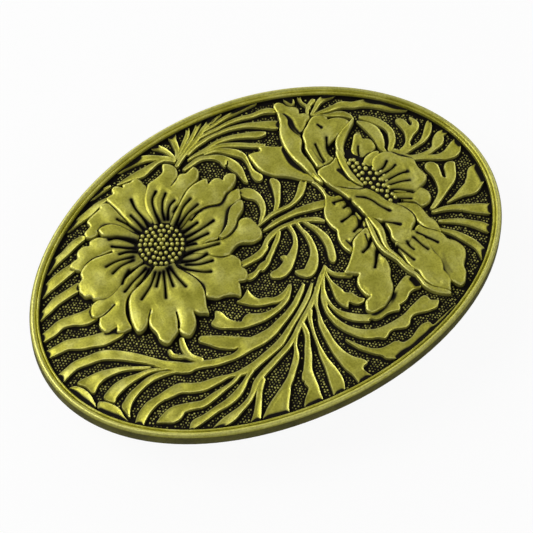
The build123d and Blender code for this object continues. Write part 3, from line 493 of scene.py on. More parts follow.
POPPY_MIDDLE = (24, 4)
POPPY_HEART = (26, 4.5)
POPPY_PETALS = (
    ("back", 0, (
        (17.5, 26.5), (17.5, 27.5), (17.9, 28.2), (18.8, 28.3), (19.5, 27.6), (19.9, 26.7),
        (20.5, 26.2), (21.3, 25.6), (21.5, 24.8), (21.2, 24), (22, 23.7), (22.6, 23), (22.4, 22.2),
        (21.5, 21.8), (20.9, 21.2), (20, 20.4), (19, 19.9), (18.3, 18.5), (17.4, 20), (17.2, 23)),
        (((18.5, 25.2, .4, .2), (18.9, 23.6, .5, .25), (18.7, 21.6, .5, .25), (18.9, 20.2, .4, .25)),)),
    ("left_hanging", 0, (
        (7.7, 20.4), (7.7, 19), (7.8, 17.5), (8.2, 16.2), (8.9, 15.2), (10, 14), (11.5, 13),
        (12.7, 12), (13.7, 11), (15, 9.9), (15.8, 9.2), (15.9, 10.8), (15.3, 12), (15, 13.8),
        (14.7, 15.5), (14.6, 17.5), (14.6, 19.3), (14.2, 19.2), (13.5, 19.6), (12.5, 20.2),
        (11.5, 20.9), (10.3, 21.2), (10.2, 20.3), (8.9, 20.6), (7.9, 20.7)),
        (((14.2, 18.6, .5, .25), (14.1, 17, .6, .25), (14, 15.3, .6, .25), (14.4, 13.5, .5, .25),
          (15.1, 12, .4, .2)),)),
    ("tall", 2, (
        (16.3, 23.2), (16.8, 24.2), (17.1, 25.3), (17.5, 26.1), (18, 25.5), (18.3, 24.5),
        (18.3, 23.6), (17.8, 22.6), (17.7, 21.4), (18, 20.2), (18.4, 19.2), (18.3, 18.2),
        (17.6, 17.2), (17, 16.2), (16.9, 15), (17.1, 13.8), (17.2, 12.2), (17, 10.6), (17.1, 9.2),
        (17, 8), (16.5, 8.6), (16.2, 9.6), (15.8, 10.8), (15.5, 12.2), (15.2, 13.5), (14.8, 15),
        (14.6, 16.5), (14.6, 18.5), (14.9, 20.3), (15.5, 22)),
        (((16.4, 9.4, .5, .35), (16.2, 10.8, .5, .3)),)),
    ("crown", 1, (
        (18.9, 18.9), (19.2, 19.4), (20, 20.2), (21, 20.8), (21.9, 21.5), (22.8, 22), (23.8, 22),
        (24.7, 21.5), (25.4, 20.7), (25.3, 20.1), (26.5, 19.9), (27.8, 19.2), (28.6, 18.2),
        (28.5, 17.6), (27, 16.9), (25.5, 16.2), (24.2, 15.8), (23.3, 15.5), (22.4, 15),
        (21.7, 14.1), (21.3, 12.9), (21.5, 11.8), (18.2, 11.6), (17.9, 12.5), (17.9, 14.5),
        (18, 16.4), (18.5, 17.4)),
        (((26, 17.9, .7, .15), (24.8, 17.4, .9, .15)),
         ((19.1, 15.4, .4, .3), (19.1, 13.6, .5, .45), (19.3, 12, .5, .45)))),
    ("collar", 1, (
        (22.9, 11.8), (23.2, 13.4), (24, 15.1), (25.5, 16.3), (27, 17.1), (28.4, 17.6), (30, 18.2),
        (29.3, 17.2), (28.2, 16.4), (27, 15.5), (25.5, 14.2), (24.5, 12.9), (24, 11.6)), ()),
    ("right_crown", 0, (
        (25.8, 12.2), (27, 13.6), (28, 14.8), (28.8, 14.8), (29.2, 14.2), (29.1, 13.3), (30, 12.8),
        (30.4, 12.1), (30.4, 11), (30, 10.2), (28.5, 9.8), (26.5, 9.7), (26, 10.5), (25.6, 11.2)), ()),
    ("right_small", 1, (
        (26.3, 8.4), (27, 9.2), (28, 9.6), (29.2, 9.7), (30.2, 9.3), (29.8, 8.6), (28.9, 8),
        (27.6, 7), (26.8, 7.2)), ()),
    ("cheek", 1, (
        (17.3, 9.5), (17.2, 10.3), (17.7, 11), (19, 11.3), (20.4, 11.2), (21.5, 11.6), (22.2, 11.9),
        (22.3, 10), (22, 8), (22.1, 6.5), (22.7, 4.8), (23.4, 3.5), (22.3, 3.8), (20.5, 4.9),
        (18.9, 6.3), (18.2, 6.5), (17.5, 8)),
        (((21.1, 9.2, .3, .25), (21.5, 8, .35, .4), (21.9, 6.6, .35, .4)),)),
    ("right", 2, (
        (27.3, 6.9), (28, 8), (29, 8.5), (30.5, 8.6), (31.8, 8.2), (32.6, 7.3), (33.2, 6.3), (34, 5.6),
        (34.8, 5), (35.2, 4.2), (35, 3), (35.1, 1.5), (35.4, .2), (34.9, -.7), (34, -1.2), (33, -1.5),
        (31.5, -2), (29.5, -1.2), (27.8, .2), (27.3, 2), (27.3, 4.5)),
        (((33, 5, .6, .15), (33.2, 2.6, .7, .18), (33, .6, .6, .15)),)),
    ("right_low", 1, (
        (27.6, -.2), (29.5, -.8), (31.5, -1.2), (33, -1.6), (33.6, -2.4), (33.9, -3.3), (33.6, -4.5),
        (33, -5.1), (32.2, -5.3), (31.2, -5.3), (30.7, -4.6), (30.3, -3.8), (29, -2.9), (27.6, -1.6)),
        (((31, -4.9, .6, .2),),)),
    ("tongue", 0, (
        (26.3, -2.2), (27.5, -3.5), (28.3, -4.6), (28.6, -6), (28.5, -7.5), (28.8, -9), (29.5, -10.3),
        (30.6, -11.2), (31.2, -12), (31.5, -11), (31.6, -10), (31.5, -9), (31, -8), (30.9, -7),
        (30.8, -5.4), (30.3, -4.2), (29.3, -3.3), (28, -2.7)), ()),
    ("left", 0, (
        (15.2, 9.3), (15.7, 8.3), (15.9, 7), (15.9, 6), (15.7, 5.1), (15, 4), (14.2, 3), (13.6, 1.8),
        (13.4, .5), (13.5, -1), (13.9, -2.2), (13.6, -2.9), (13.2, -4), (13.1, -5.5), (13.3, -6.7),
        (13.8, -7.6), (14.6, -6.8), (15.3, -5.6), (16.5, -4.9), (18.5, -4.4), (19.5, -3.6), (19.6, -2),
        (19.4, 0), (19.1, 2), (18.7, 3.6), (18.4, 4.4), (17.6, 4.6), (16.9, 5), (16.5, 6), (16.6, 7),
        (16.3, 8.3), (15.8, 9.4)),
        (((14.3, -5, .5, .4), (14.6, -6.2, .4, .35)), ((16.3, 4.5, .35, .3), (16.6, 3, .3, .2)),
         ((19, 2.5, .5, .5), (19, 0, .5, .6), (18.9, -2, .6, .6), (18.6, -3.6, .6, .4)))),
    ("left_low", 1, (
        (10.3, -11), (10.8, -10.5), (11.7, -9.9), (12.8, -8.9), (13.9, -7.8), (14.7, -6.8),
        (15.2, -5.9), (16.3, -5.2), (17.5, -4.8), (19, -4.4), (19.2, -5), (18.7, -7), (18.4, -9),
        (18.4, -11), (18.7, -12.6), (18.3, -14.6), (17.6, -15.7), (17.2, -16.7), (16.9, -17.8),
        (16.2, -18.8), (15.2, -19.7), (14.2, -20.3), (13.3, -20.8), (12, -20.9), (10.5, -20.8),
        (9.8, -20), (10.1, -19), (10.7, -18.1), (12, -17.7), (11.5, -17.3), (11.2, -16), (11.2, -14.3),
        (11.8, -13.2), (12.5, -12.6), (11.6, -11.9), (11, -11.4)),
        (((18.2, -5.6, .5, .45), (17.8, -7.6, .5, .5), (17.9, -9.8, .6, .55), (17.7, -11.8, .5, .4)),
         ((17.4, -12.6, .3, .2), (16.9, -14, .3, .15)), ((11.6, -15.5, .3, .12), (11.9, -17, .3, .12)))),
    ("right_hem", 0, (
        (26.8, -9.5), (28.3, -8.5), (29, -9.8), (30.5, -11.3), (31.3, -12.3), (31.5, -13.8), (32.6, -15),
        (33.2, -16.4), (33.2, -17.5), (32.5, -18.8), (31.7, -19.6), (31, -20.6), (30.8, -21.6),
        (29.9, -22.9), (29.1, -23.7), (28.1, -23.7), (27.4, -22.5), (27, -21), (26.8, -18),
        (27, -15), (26.6, -12)),
        (((28.3, -20.5, .6, .12), (28.4, -18.4, .6, .12), (28.9, -16.4, .5, .1)),)),
    ("left_hem", 1, (
        (21.9, -10.5), (22, -13), (21.9, -15), (22.2, -16.4), (22.8, -17.5), (22.7, -19), (23, -20.3),
        (23.6, -21.5), (24.5, -22.5), (25.4, -23.4), (25.9, -24), (26.1, -23.6), (26.5, -22.8),
        (27.1, -22.1), (27.3, -21), (27.2, -20), (27.1, -19.5), (27.6, -18.5), (27.9, -17.3),
        (27.8, -16.2), (27.6, -15), (27.8, -12), (27, -9.5), (25, -9), (23, -9.5)),
        (((24.2, -19.6, .5, .15), (24.8, -21.4, .5, .15)),)),
    ("mantle", 2, (
        (17.8, 8.2), (18.5, 6.6), (19, 6.1), (20.5, 4.7), (22.3, 3.5), (23.6, 3.1), (24.2, 2.4), (24.8, 1.3),
        (25.3, 0), (25.6, -1), (26.2, -2), (27, -3), (27.7, -4), (28.2, -5.2), (28.4, -6.2),
        (28.3, -7.2), (27.9, -7.9), (27, -8.5), (26.2, -9.3), (25.8, -10.2), (25, -11), (24.2, -11.4),
        (23.2, -11), (22.4, -10), (22.1, -8.8), (22.6, -7.5), (22.7, -6), (22.5, -4.9), (21.2, -3.1),
        (20.4, -2.4), (20.2, -.5), (19.9, 1), (19.5, 3), (18.9, 4.8), (17.9, 6.8)),
        (((24.3, -9.9, .6, .2), (25.4, -9.2, .5, .15)), ((26.2, -4.5, .5, .12), (24.8, -3, .5, .1)))),
)
POPPY_RIBBONS = (
    ("cup_wall", 2, ((23.2, 12.4, .7), (22.9, 11, .7), (22.6, 9.5, .65), (22.5, 8, .6), (22.6, 6.5, .6),
                     (22.9, 5.2, .45), (23.4, 4.1, .25))),
    ("pleat_left", 1, ((20.1, -2.8, .25), (19.8, -5, .45), (19.4, -7, .45), (19.2, -9, .4),
                       (19.5, -10.8, .4), (20.2, -12.3, .4), (20.7, -13.8, .35), (20.9, -15.2, .35),
                       (21.4, -16.6, .4), (22, -17.8, .35), (22.2, -19.2, .35), (22.3, -20.6, .4),
                       (23, -21.9, .5), (24, -22.9, .6), (25, -23.8, .5), (25.5, -24.4, .2))),
    ("pleat_right", 1, ((20.7, -2.2, .3), (21.1, -4.2, .6), (21.2, -5.8, .65), (20.9, -7.4, .6),
                        (20.4, -9, .45), (20.3, -10.5, .35), (20.7, -12, .3), (21.1, -13.6, .3),
                        (21.3, -15.2, .3), (21.9, -16.6, .4))),
)
POPPY_SLITS = (
    ((20.2, 16.3, .18), (20, 15, .16), (19.8, 13.5, .14), (19.8, 12.2, .14)),
    ((22.9, 16.6, .18), (22.3, 15.5, .14), (21.7, 14.5, .14), (21.4, 13.3, .11)),
    ((22.9, 19.9, .10), (23.2, 19.1, .14)),
    ((16.8, 3.5, .14), (18.8, 3.2, .22)),
    ((17.7, 1.5, .16), (18.9, 1.9, .22), (19.6, 2.3, .22)),
    ((15.8, -.95, .22), (17.3, -.7, .14), (18.7, -.2, .22), (19.5, .4, .25)),
    ((16.7, -4, .20), (18, -3.4, .18), (19.2, -2.6, .22), (20, -2, .22)),
    ((15.7, -8.85, .20), (16.8, -8.5, .20), (17.7, -7.8, .25), (18.6, -7, .32)),
    ((16, -12.75, .20), (16.8, -11.8, .22), (17.5, -10.8, .25), (18.3, -9.8, .36)),
    ((30.3, 6.4, .14), (29, 5.5, .14), (27, 5.1, .14)),
    ((31.3, 4.9, .14), (29.8, 4.4, .11), (27, 4.2, .11)),
    ((32.5, 2.6, .18), (31, 2.8, .11), (27.3, 2.6, .11)),
    ((32, .6, .14), (30.5, 1.1, .11), (28, 1.6, .10)),
    ((31.1, -1.8, .18), (30, -.9, .14), (29, -.1, .14), (27.8, .5, .14)),
    ((27.6, -1.5, .10), (29, -2.3, .14), (30.2, -3, .14)),
    ((23.3, -14.9, .20), (22.9, -13.5, .14), (22.5, -12.2, .13), (22.1, -10.8, .14)),
    ((24.5, -13, .14), (24.2, -12, .14), (24.2, -11, .22)),
    ((26.9, -14.2, .20), (26.5, -13.2, .16), (26.2, -12, .14), (25.9, -10.8, .18)),
    ((29.4, -13.6, .16), (28.5, -12.2, .14), (27.7, -11, .14), (27, -10, .18)),
    ((21, 2.3, .10), (22.3, 1.4, .12), (23.2, .2, .12), (23.9, -1.5, .14), (24.9, -3.3, .16)),
    ((22.5, -5, .10), (23.8, -6, .10), (25, -7.1, .11)),
    ((27.4, 12.2, .11), (26.8, 11.2, .12), (26.4, 10.2, .10)),
)
POPPY_BEADS = (
    (24.1, 8.6), (25.1, 8.9), (24.4, 10.1), (23.7, 9.6), (24, 7.6), (25, 7.8), (26, 7.1), (26.2, 8.1),
    (24.9, 6.5), (26.2, 5.8), (27.3, 6.3), (24, 6.4), (25.1, 4.9), (27.3, 5.1), (26.2, 4.3), (24.1, 5.3),
    (25.1, 3.8), (24.2, 4.3), (27.2, 3.6), (28.3, 3.9), (25, 2.7), (26.2, 2.8), (28.1, 2.8),
    (27.1, 2.1), (26.1, 1.3), (27.8, 1.4), (27, .7), (26.3, -.2), (27.5, -.3), (26.4, -1.4),
    (27.6, -1.2), (25.4, 1.8), (28.2, 5), (23.4, 10.6), (25, 9.8),
)

# =====================================================================
# Drawing: smooth lines, distances from them, and the bowed surface
# =====================================================================

INSET = RIM_WIDTH - 0.15
grid_x = np.arange(-48.45, 48.5, STEP)
grid_y = np.arange(-34.6, 34.65, STEP)
GX, GY = np.meshgrid(grid_x, grid_y, indexing="ij")


def smooth_line(points, per_span=5, closed=False):
    """A smooth line through the points. A third value, the half width, runs along with it."""
    p = np.array(points, float)
    if closed:
        p = np.vstack([p[-1:], p, p[:2]])
    else:
        p = np.vstack([2 * p[:1] - p[1:2], p, 2 * p[-1:] - p[-2:-1]])
    t = np.linspace(0, 1, per_span, endpoint=False)[:, None]
    rows = []
    for a, b, c, d in zip(p[:-3], p[1:-2], p[2:-1], p[3:]):
        rows.append(0.5 * (2 * b + (c - a) * t + (2 * a - 5 * b + 4 * c - d) * t ** 2
                           + (3 * b - a - 3 * c + d) * t ** 3))
    if not closed:
        rows.append(p[-2:-1])
    line = np.vstack(rows)
    if line.shape[1] > 2:
        line[:, 2] = np.maximum(line[:, 2], 0.05)
    return line


def window(line, margin):
    low = line[:, :2].min(0) - margin
    high = line[:, :2].max(0) + margin
    i = np.searchsorted(grid_x, (low[0], high[0]))
    j = np.searchsorted(grid_y, (low[1], high[1]))
    return slice(i[0], i[1]), slice(j[0], j[1])


def empty_field():
    return np.full(GX.shape, OUTSIDE)


def add_ribbon(field, points, grow=0.0):
    """Raises the field to the depth inside the ribbon, where that is more."""
    line = smooth_line(points)
    area = window(line, REACH)
    x, y = GX[area], GY[area]
    best = np.full(x.shape, OUTSIDE)
    for a, b in zip(line[:-1], line[1:]):
        along = b[:2] - a[:2]
        length = along @ along
        if length < 1e-9:
            continue
        t = np.clip(((x - a[0]) * along[0] + (y - a[1]) * along[1]) / length, 0, 1)
        half = a[2] + t * (b[2] - a[2]) + grow
        np.maximum(best, half - np.hypot(x - a[0] - t * along[0], y - a[1] - t * along[1]), out=best)
    field[area] = np.maximum(field[area], best)


def add_outline(field, points):
    """Raises the field to the depth inside the closed outline, where that is more."""
    line = smooth_line(points, 4, closed=True)
    area = window(line, REACH)
    x, y = GX[area], GY[area]
    far = np.full(x.shape, -OUTSIDE)
    inside = np.zeros(x.shape, bool)
    for a, b in zip(line, np.roll(line, -1, axis=0)):
        along = b - a
        length = along @ along
        if length < 1e-12:
            continue
        t = np.clip(((x - a[0]) * along[0] + (y - a[1]) * along[1]) / length, 0, 1)
        np.minimum(far, np.hypot(x - a[0] - t * along[0], y - a[1] - t * along[1]), out=far)
        if a[1] != b[1]:
            crossing = ((a[1] > y) != (b[1] > y)) & (x < a[0] + along[0] * (y - a[1]) / along[1])
            inside ^= crossing
    depth = np.where(inside, far, -far)
    field[area] = np.maximum(field[area], depth)


def cut_field(field, ribbons):
    """Lowers the field along the ribbons, so they cut right through."""
    for points in ribbons:
        hole = empty_field()
        add_ribbon(hole, points)
        np.minimum(field, -hole, out=field)


def oval_depth(inset):
    """Depth inside the plate's oval, drawn in by the inset."""
    a = HALF_LENGTH - inset
    b = HALF_WIDTH - inset
    f = np.sqrt((GX / a) ** 2 + (GY / b) ** 2) + 1e-6
    slope = np.sqrt((GX / a ** 2) ** 2 + (GY / b ** 2) ** 2) / f + 1e-6
    return (1 - f) / slope


def smooth_step(value, low, high):
    t = np.clip((value - low) / (high - low), 0, 1)
    return t * t * (3 - 2 * t)


def sample(values, x, y):
    """Reads a grid of values between its points."""
    u = np.clip((x - grid_x[0]) / STEP, 0, len(grid_x) - 1.001)
    v = np.clip((y - grid_y[0]) / STEP, 0, len(grid_y) - 1.001)
    i, j = u.astype(int), v.astype(int)
    u, v = u - i, v - j
    return ((1 - u) * (1 - v) * values[i, j] + u * (1 - v) * values[i + 1, j]
            + (1 - u) * v * values[i, j + 1] + u * v * values[i + 1, j + 1])


def bowed(x, level):
    """Height above the rest pad of a point at that level of the bowed plate."""
    return np.sqrt((BOW_RADIUS + level) ** 2 - x ** 2) - BOW_RADIUS


def unbowed(x, z):
    return np.sqrt((z + BOW_RADIUS) ** 2 + x ** 2) - BOW_RADIUS


def blurred(values, radius):
    """The grid of values, softened over the radius in millimetres."""
    reach = int(3 * radius / STEP) + 1
    weights = np.exp(-0.5 * (np.arange(-reach, reach + 1) * STEP / radius) ** 2)
    weights /= weights.sum()
    for axis in (0, 1):
        padding = [(0, 0), (0, 0)]
        padding[axis] = (reach, reach)
        padded = np.pad(values, padding, mode="edge")
        total = np.zeros_like(values)
        for k, weight in enumerate(weights):
            part = [slice(None), slice(None)]
            part[axis] = slice(k, k + values.shape[axis])
            total += weight * padded[tuple(part)]
        values = total
    return values


# =====================================================================
# Meshes
# =====================================================================

def new_piece(name, vertices, faces):
    """A closed mesh piece, its vertices given in millimetres."""
    mesh = bpy.data.meshes.new(name)
    mesh.from_pydata((np.asarray(vertices) * MM).tolist(), [], faces)
    mesh.update()
    piece = bpy.data.objects.new(name, mesh)
    bpy.context.scene.collection.objects.link(piece)
    return piece


def select_only(piece):
    bpy.ops.object.select_all(action="DESELECT")
    piece.select_set(True)
    bpy.context.view_layer.objects.active = piece


def settle(piece, angle=45.0):
    """Smooth shading up to the angle, then the piece rides on the buckle."""
    select_only(piece)
    bpy.ops.object.shade_smooth_by_angle(angle=math.radians(angle))
    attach(piece, BODY)
    piece["carved"] = True


def carve(name, depth, height):
    """A carved piece: its flat shape is where depth is over EDGE, its top is at height."""
    middle = 0.25 * (depth[:-1, :-1] + depth[1:, :-1] + depth[1:, 1:] + depth[:-1, 1:])
    cells = middle > EDGE
    cells[:2] = cells[-2:] = False
    cells[:, :2] = cells[:, -2:] = False
    for _ in range(4):
        a, b = cells[:-1, :-1], cells[1:, :-1]
        c, d = cells[1:, 1:], cells[:-1, 1:]
        rising = a & c & ~b & ~d
        falling = b & d & ~a & ~c
        if not (rising.any() or falling.any()):
            break
        cells[:-1, :-1] &= ~rising
        cells[1:, :-1] &= ~falling
    around = np.zeros(GX.shape, int)
    around[:-1, :-1] += cells
    around[1:, :-1] += cells
    around[1:, 1:] += cells
    around[:-1, 1:] += cells
    used = around > 0
    border = used & (around < 4)
    inner = around == 4
    slope_x, slope_y = np.gradient(depth, STEP)
    px, py = GX.copy(), GY.copy()
    bx, by = px[border], py[border]
    start_x, start_y = bx.copy(), by.copy()
    for _ in range(3):
        sx, sy = sample(slope_x, bx, by), sample(slope_y, bx, by)
        steep = np.maximum(sx * sx + sy * sy, 0.2)
        miss = sample(depth, bx, by) - EDGE
        bx -= miss * sx / steep
        by -= miss * sy / steep
        bx = np.clip(bx, start_x - SNAP * STEP, start_x + SNAP * STEP)
        by = np.clip(by, start_y - SNAP * STEP, start_y + SNAP * STEP)
    px[border], py[border] = bx, by
    near = inner & (np.roll(border, 1, 0) | np.roll(border, -1, 0) | np.roll(border, 1, 1)
                    | np.roll(border, -1, 1))
    for _ in range(3):
        for p in (px, py):
            mean = 0.25 * (np.roll(p, 1, 0) + np.roll(p, -1, 0) + np.roll(p, 1, 1) + np.roll(p, -1, 1))
            p[near] = 0.4 * p[near] + 0.6 * mean[near]
    number = np.full(GX.shape, -1)
    number[used] = np.arange(used.sum())
    ci, cj = np.nonzero(cells)
    corner = (number[ci, cj], number[ci + 1, cj], number[ci + 1, cj + 1], number[ci, cj + 1])
    vx, vy = px[used], py[used]

    def area(p, q, r):
        return (vx[q] - vx[p]) * (vy[r] - vy[p]) - (vx[r] - vx[p]) * (vy[q] - vy[p])

    a, b, c, d = corner
    first = np.minimum(area(a, b, c), area(a, c, d))
    second = np.minimum(area(a, b, d), area(b, c, d))
    pick = (first >= second)[:, None]
    one = np.where(pick, np.stack([a, b, c], 1), np.stack([a, b, d], 1))
    two = np.where(pick, np.stack([a, c, d], 1), np.stack([b, c, d], 1))
    triangles = np.vstack([one, two])
    edges = []
    for di, dj, p, q in ((0, -1, a, b), (1, 0, b, c), (0, 1, c, d), (-1, 0, d, a)):
        open_side = ~cells[ci + di, cj + dj]
        edges.append(np.stack([p[open_side], q[open_side]], 1))
    edges = np.vstack(edges)

    top = sample(height, vx, vy)
    count = len(vx)
    lip = number[border]
    away_x, away_y = -sample(slope_x, vx[lip], vy[lip]), -sample(slope_y, vx[lip], vy[lip])
    size = np.maximum(np.hypot(away_x, away_y), 0.5)
    away_x, away_y = away_x / size, away_y / size
    bevel = np.full(count, -1)
    bevel[lip] = 2 * count + np.arange(len(lip))
    foot_x, foot_y = vx.copy(), vy.copy()
    foot_x[lip] += away_x * (EDGE + DRAFT)
    foot_y[lip] += away_y * (EDGE + DRAFT)
    x = np.concatenate([vx, foot_x, vx[lip] + EDGE * away_x])
    y = np.concatenate([vy, foot_y, vy[lip] + EDGE * away_y])
    level = np.concatenate([top, np.full(count, ROOT), top[lip] - BEVEL_DROP])
    faces = triangles.tolist()
    faces += (triangles[:, ::-1] + count).tolist()
    p, q = edges[:, 0], edges[:, 1]
    faces += np.stack([q, p, bevel[p], bevel[q]], 1).tolist()
    faces += np.stack([bevel[q], bevel[p], p + count, q + count], 1).tolist()
    piece = new_piece(name, np.stack([x, y, bowed(x, level)], 1), faces)
    settle(piece, 55)
    return piece


def worked_surface():
    """The gentle hand-cut unevenness of the whole face, a few hundredths of a millimetre."""
    chance = random.Random(21)
    waves = np.zeros(GX.shape)
    for _ in range(14):
        length = chance.uniform(3.2, 8.0)
        turn = chance.uniform(0, math.pi)
        phase = chance.uniform(0, 2 * math.pi)
        waves += np.sin(2 * math.pi * (GX * math.cos(turn) + GY * math.sin(turn)) / length + phase)
    return 0.018 * waves


def hollow_out(height, hollows):
    """Sinks soft folds into a height: rows of (x, y, half width, depth)."""
    for points in hollows:
        line = np.array(points, float)
        if len(line) == 1:
            line = np.vstack([line, line + (0.05, 0, 0, 0)])
        soft = empty_field()
        add_ribbon(soft, line[:, :3], 0.25)
        deep = line[:, 3].mean()
        height -= 1.1 * deep * smooth_step(soft, -0.3, 0.9)


def beads(name, places, radius, base, rise, rings=3, sides=8):
    """Small domes, one for each (x, y, level) place, in one piece, each closed below."""
    angles = np.arange(sides) * 2 * math.pi / sides
    vertices = []
    faces = []
    for (x, y, level), size in zip(places, base):
        start = len(vertices)
        r = radius * size
        vertices.append((x, y, level - BEAD_ROOT))
        for angle in angles:
            vertices.append((x + r * math.cos(angle), y + r * math.sin(angle), level - BEAD_ROOT))
        for k in range(rings):
            tilt = 0.5 * math.pi * k / rings
            reach = r * math.cos(tilt)
            lift = rise * size * math.sin(tilt)
            for angle in angles:
                vertices.append((x + reach * math.cos(angle), y + reach * math.sin(angle), level + lift))
        vertices.append((x, y, level + rise * size))
        for k in range(sides):
            n = (k + 1) % sides
            faces.append((start, start + 1 + n, start + 1 + k))
            for ring in range(rings):
                low = start + 1 + ring * sides
                faces.append((low + k, low + n, low + sides + n, low + sides + k))
            high = start + 1 + rings * sides
            faces.append((high + k, high + n, start + 1 + (rings + 1) * sides))
    v = np.array(vertices)
    v[:, 2] = bowed(v[:, 0], v[:, 2])
    piece = new_piece(name, v, faces)
    settle(piece, 80)
    return piece


def near_slits(slits, middle, inner, outer):
    """How close each place is to a slit, or to the dark root of the petals round the middle."""
    slit = empty_field()
    for points in slits:
        add_ribbon(slit, points)
    close = np.exp(np.clip(slit, OUTSIDE, 0) / SLIT_FADE)
    root = smooth_step(-np.hypot(GX - middle[0], GY - middle[1]), -outer, -inner)
    return close, root


def leaf_depth(spec):
    depth = empty_field()
    for points in spec.get("ribbons", ()):
        add_ribbon(depth, points)
    for points in spec.get("outlines", ()):
        add_outline(depth, points)
    cut_field(depth, spec.get("cuts", ()))
    return np.minimum(depth, oval_depth(INSET))


def make_leaf(name, spec):
    depth = leaf_depth(spec)
    inside = np.clip(depth, 0, None)
    height = GROUND + LEAF_RISE - 0.2 * (1 - np.exp(-inside / 0.28))
    height += 0.1 * smooth_step(blurred(inside, 0.5), 0.45, 1.1)
    height -= 0.25 * smooth_step(-oval_depth(RIM_WIDTH), -2.2, 0.1)
    height += worked_surface()
    hollow_out(height, spec.get("hollows", ()))
    return carve(name, depth, height)


def make_petal(name, points, base, cuts, hollows, middle, reach, tip_rise, ribbon=False):
    depth = empty_field()
    if ribbon:
        add_ribbon(depth, points)
    else:
        add_outline(depth, points)
    whole = depth.copy()
    cut_field(depth, cuts)
    depth = np.minimum(depth, oval_depth(INSET))
    if middle == DAISY_MIDDLE:
        depth = np.minimum(depth, np.hypot(GX - middle[0], GY - middle[1]) - DAISY_DISC + 0.15)
    inside = np.clip(depth, 0, None)
    away = np.hypot(GX - middle[0], GY - middle[1])
    height = base + tip_rise * smooth_step(away, *reach)
    height += 0.3 * (1 - np.exp(-inside / 0.5)) - 0.3
    height += 0.05 * np.exp(-((whole - 0.3) / 0.28) ** 2) * smooth_step(away, reach[0], reach[1])
    height += 0.8 * worked_surface()
    hollow_out(height, hollows)
    height = np.minimum(height, TOP + PROUD + GX ** 2 / (2 * BOW_RADIUS))
    return carve(name, depth, np.maximum(height, GROUND - 0.1))


# =====================================================================
# Patina and painted shade: how deep each point lies among its neighbours
# =====================================================================

def carved_pieces():
    return [o for o in bpy.context.scene.objects if o.type == "MESH" and o.get("carved")]


def coordinates(piece):
    co = np.zeros(len(piece.data.vertices) * 3)
    piece.data.vertices.foreach_get("co", co)
    return co.reshape(-1, 3) / MM


def bend(piece, rule):
    """Moves every point to the height that the rule, bowed or unbowed, gives it."""
    co = coordinates(piece)
    co[:, 2] = rule(co[:, 0], co[:, 2])
    piece.data.vertices.foreach_set("co", (co * MM).ravel())
    piece.data.update()


def write_value(piece, name, values):
    layer = piece.data.attributes.get(name) or piece.data.attributes.new(name, "FLOAT", "POINT")
    layer.data.foreach_set("value", np.asarray(values, np.float32))


def patina_of_back(piece):
    """The cast back is evenly tarnished, and darker on its walls, face by face."""
    upright = np.array([abs(face.normal.z) for face in piece.data.polygons])
    for name, values in (("sunk", np.where(upright < 0.5, 0.6, 0.2)), ("rubbed", np.zeros(len(upright)))):
        attribute = piece.data.attributes.new(name, "FLOAT", "FACE")
        attribute.data.foreach_set("value", values.astype(np.float32))


def lay_patina_and_shade():
    """Writes how sunken every point of the carved face is, for its black patina and painted shade, and how
    raised it is, for its edge wear and painted highlight.
    """
    tops = np.full(GX.shape, GROUND)
    rim = oval_depth(0)
    tops = np.where(rim < RIM_WIDTH, RIM_TOP - 0.15, tops)
    tops = np.where(rim < 0, BACK, tops)
    pieces = carved_pieces()
    daisy_slit, daisy_root = near_slits(DAISY_ALL_SLITS, DAISY_MIDDLE, 4.5, 8.5)
    poppy_slit, poppy_root = near_slits(POPPY_SLITS, POPPY_HEART, 2.0, 6.0)
    flowers = {"daisy": (daisy_slit, daisy_root), "poppy": (poppy_slit, 0.4 * poppy_root)}
    levels = {}
    for piece in pieces:
        co = coordinates(piece)
        level = unbowed(co[:, 0], co[:, 2])
        levels[piece.name] = (co, level)
        i = np.clip(np.rint((co[:, 0] - grid_x[0]) / STEP).astype(int), 0, len(grid_x) - 1)
        j = np.clip(np.rint((co[:, 1] - grid_y[0]) / STEP).astype(int), 0, len(grid_y) - 1)
        if piece.get("raises", 1):
            np.maximum.at(tops, (i, j), level)
    crisp = blurred(tops, 0.17)
    fine = blurred(tops, 0.35)
    coarse = blurred(tops, 1.0)
    for piece in pieces:
        if piece.name == "plate_back":
            patina_of_back(piece)
            continue
        co, level = levels[piece.name]
        x, y = co[:, 0], co[:, 1]
        # The fine term blackens the hollows as patina. The coarse term is painted shade: it darkens lower
        # surfaces beside higher pieces, such as a petal under the edge of the petal above it.
        sunk = 0.85 * (sample(fine, x, y) - level) / 0.3 + 1.7 * (sample(coarse, x, y) - level) / 0.5
        # Edge wear and painted highlight: points standing above their close surroundings, such as the crests
        # of edges, are made lighter.
        rubbed = (level - sample(crisp, x, y)) / 0.13
        sunk = np.maximum(sunk, smooth_step(GROUND + 0.45 - level, 0, 0.35))
        flower = flowers.get(piece.name.split("_")[0])
        if flower and "petal" in piece.name:
            slit = sample(flower[0], x, y)
            sunk = sunk + 0.65 * slit + 0.3 * sample(flower[1], x, y)
            rubbed = rubbed * (1 - np.clip(1.6 * slit, 0, 1))
        if "seeds" in piece.name:
            # Seed tops lighter with wear and painted highlight; their feet black with patina.
            lift = (level - sample(tops, x, y) + 0.45) / 0.45
            sunk = np.clip(1.0 - 1.1 * lift, 0, 1)
            rubbed = np.clip(1.6 * lift - 0.7, 0, 1)
        if piece.name == "rim_and_ground":
            side = 1 - smooth_step(sample(rim, x, y), 0.02, 0.5)
            sunk = np.where(side > 0.9, 0.6, np.maximum(sunk, 0.35 * side))
            rubbed = rubbed * (1 - side)
        if piece.name in ("daisy_disc", "poppy_heart"):
            sunk = np.ones(len(x))
        sunk = np.clip(sunk, 0, 1)
        write_value(piece, "sunk", sunk)
        write_value(piece, "rubbed", np.clip(rubbed, 0, 1))


# =====================================================================
# Materials
# =====================================================================

def node(tree, kind, x, y, **values):
    made = tree.nodes.new(kind)
    made.location = (x, y)
    for key, value in values.items():
        setattr(made, key, value)
    return made


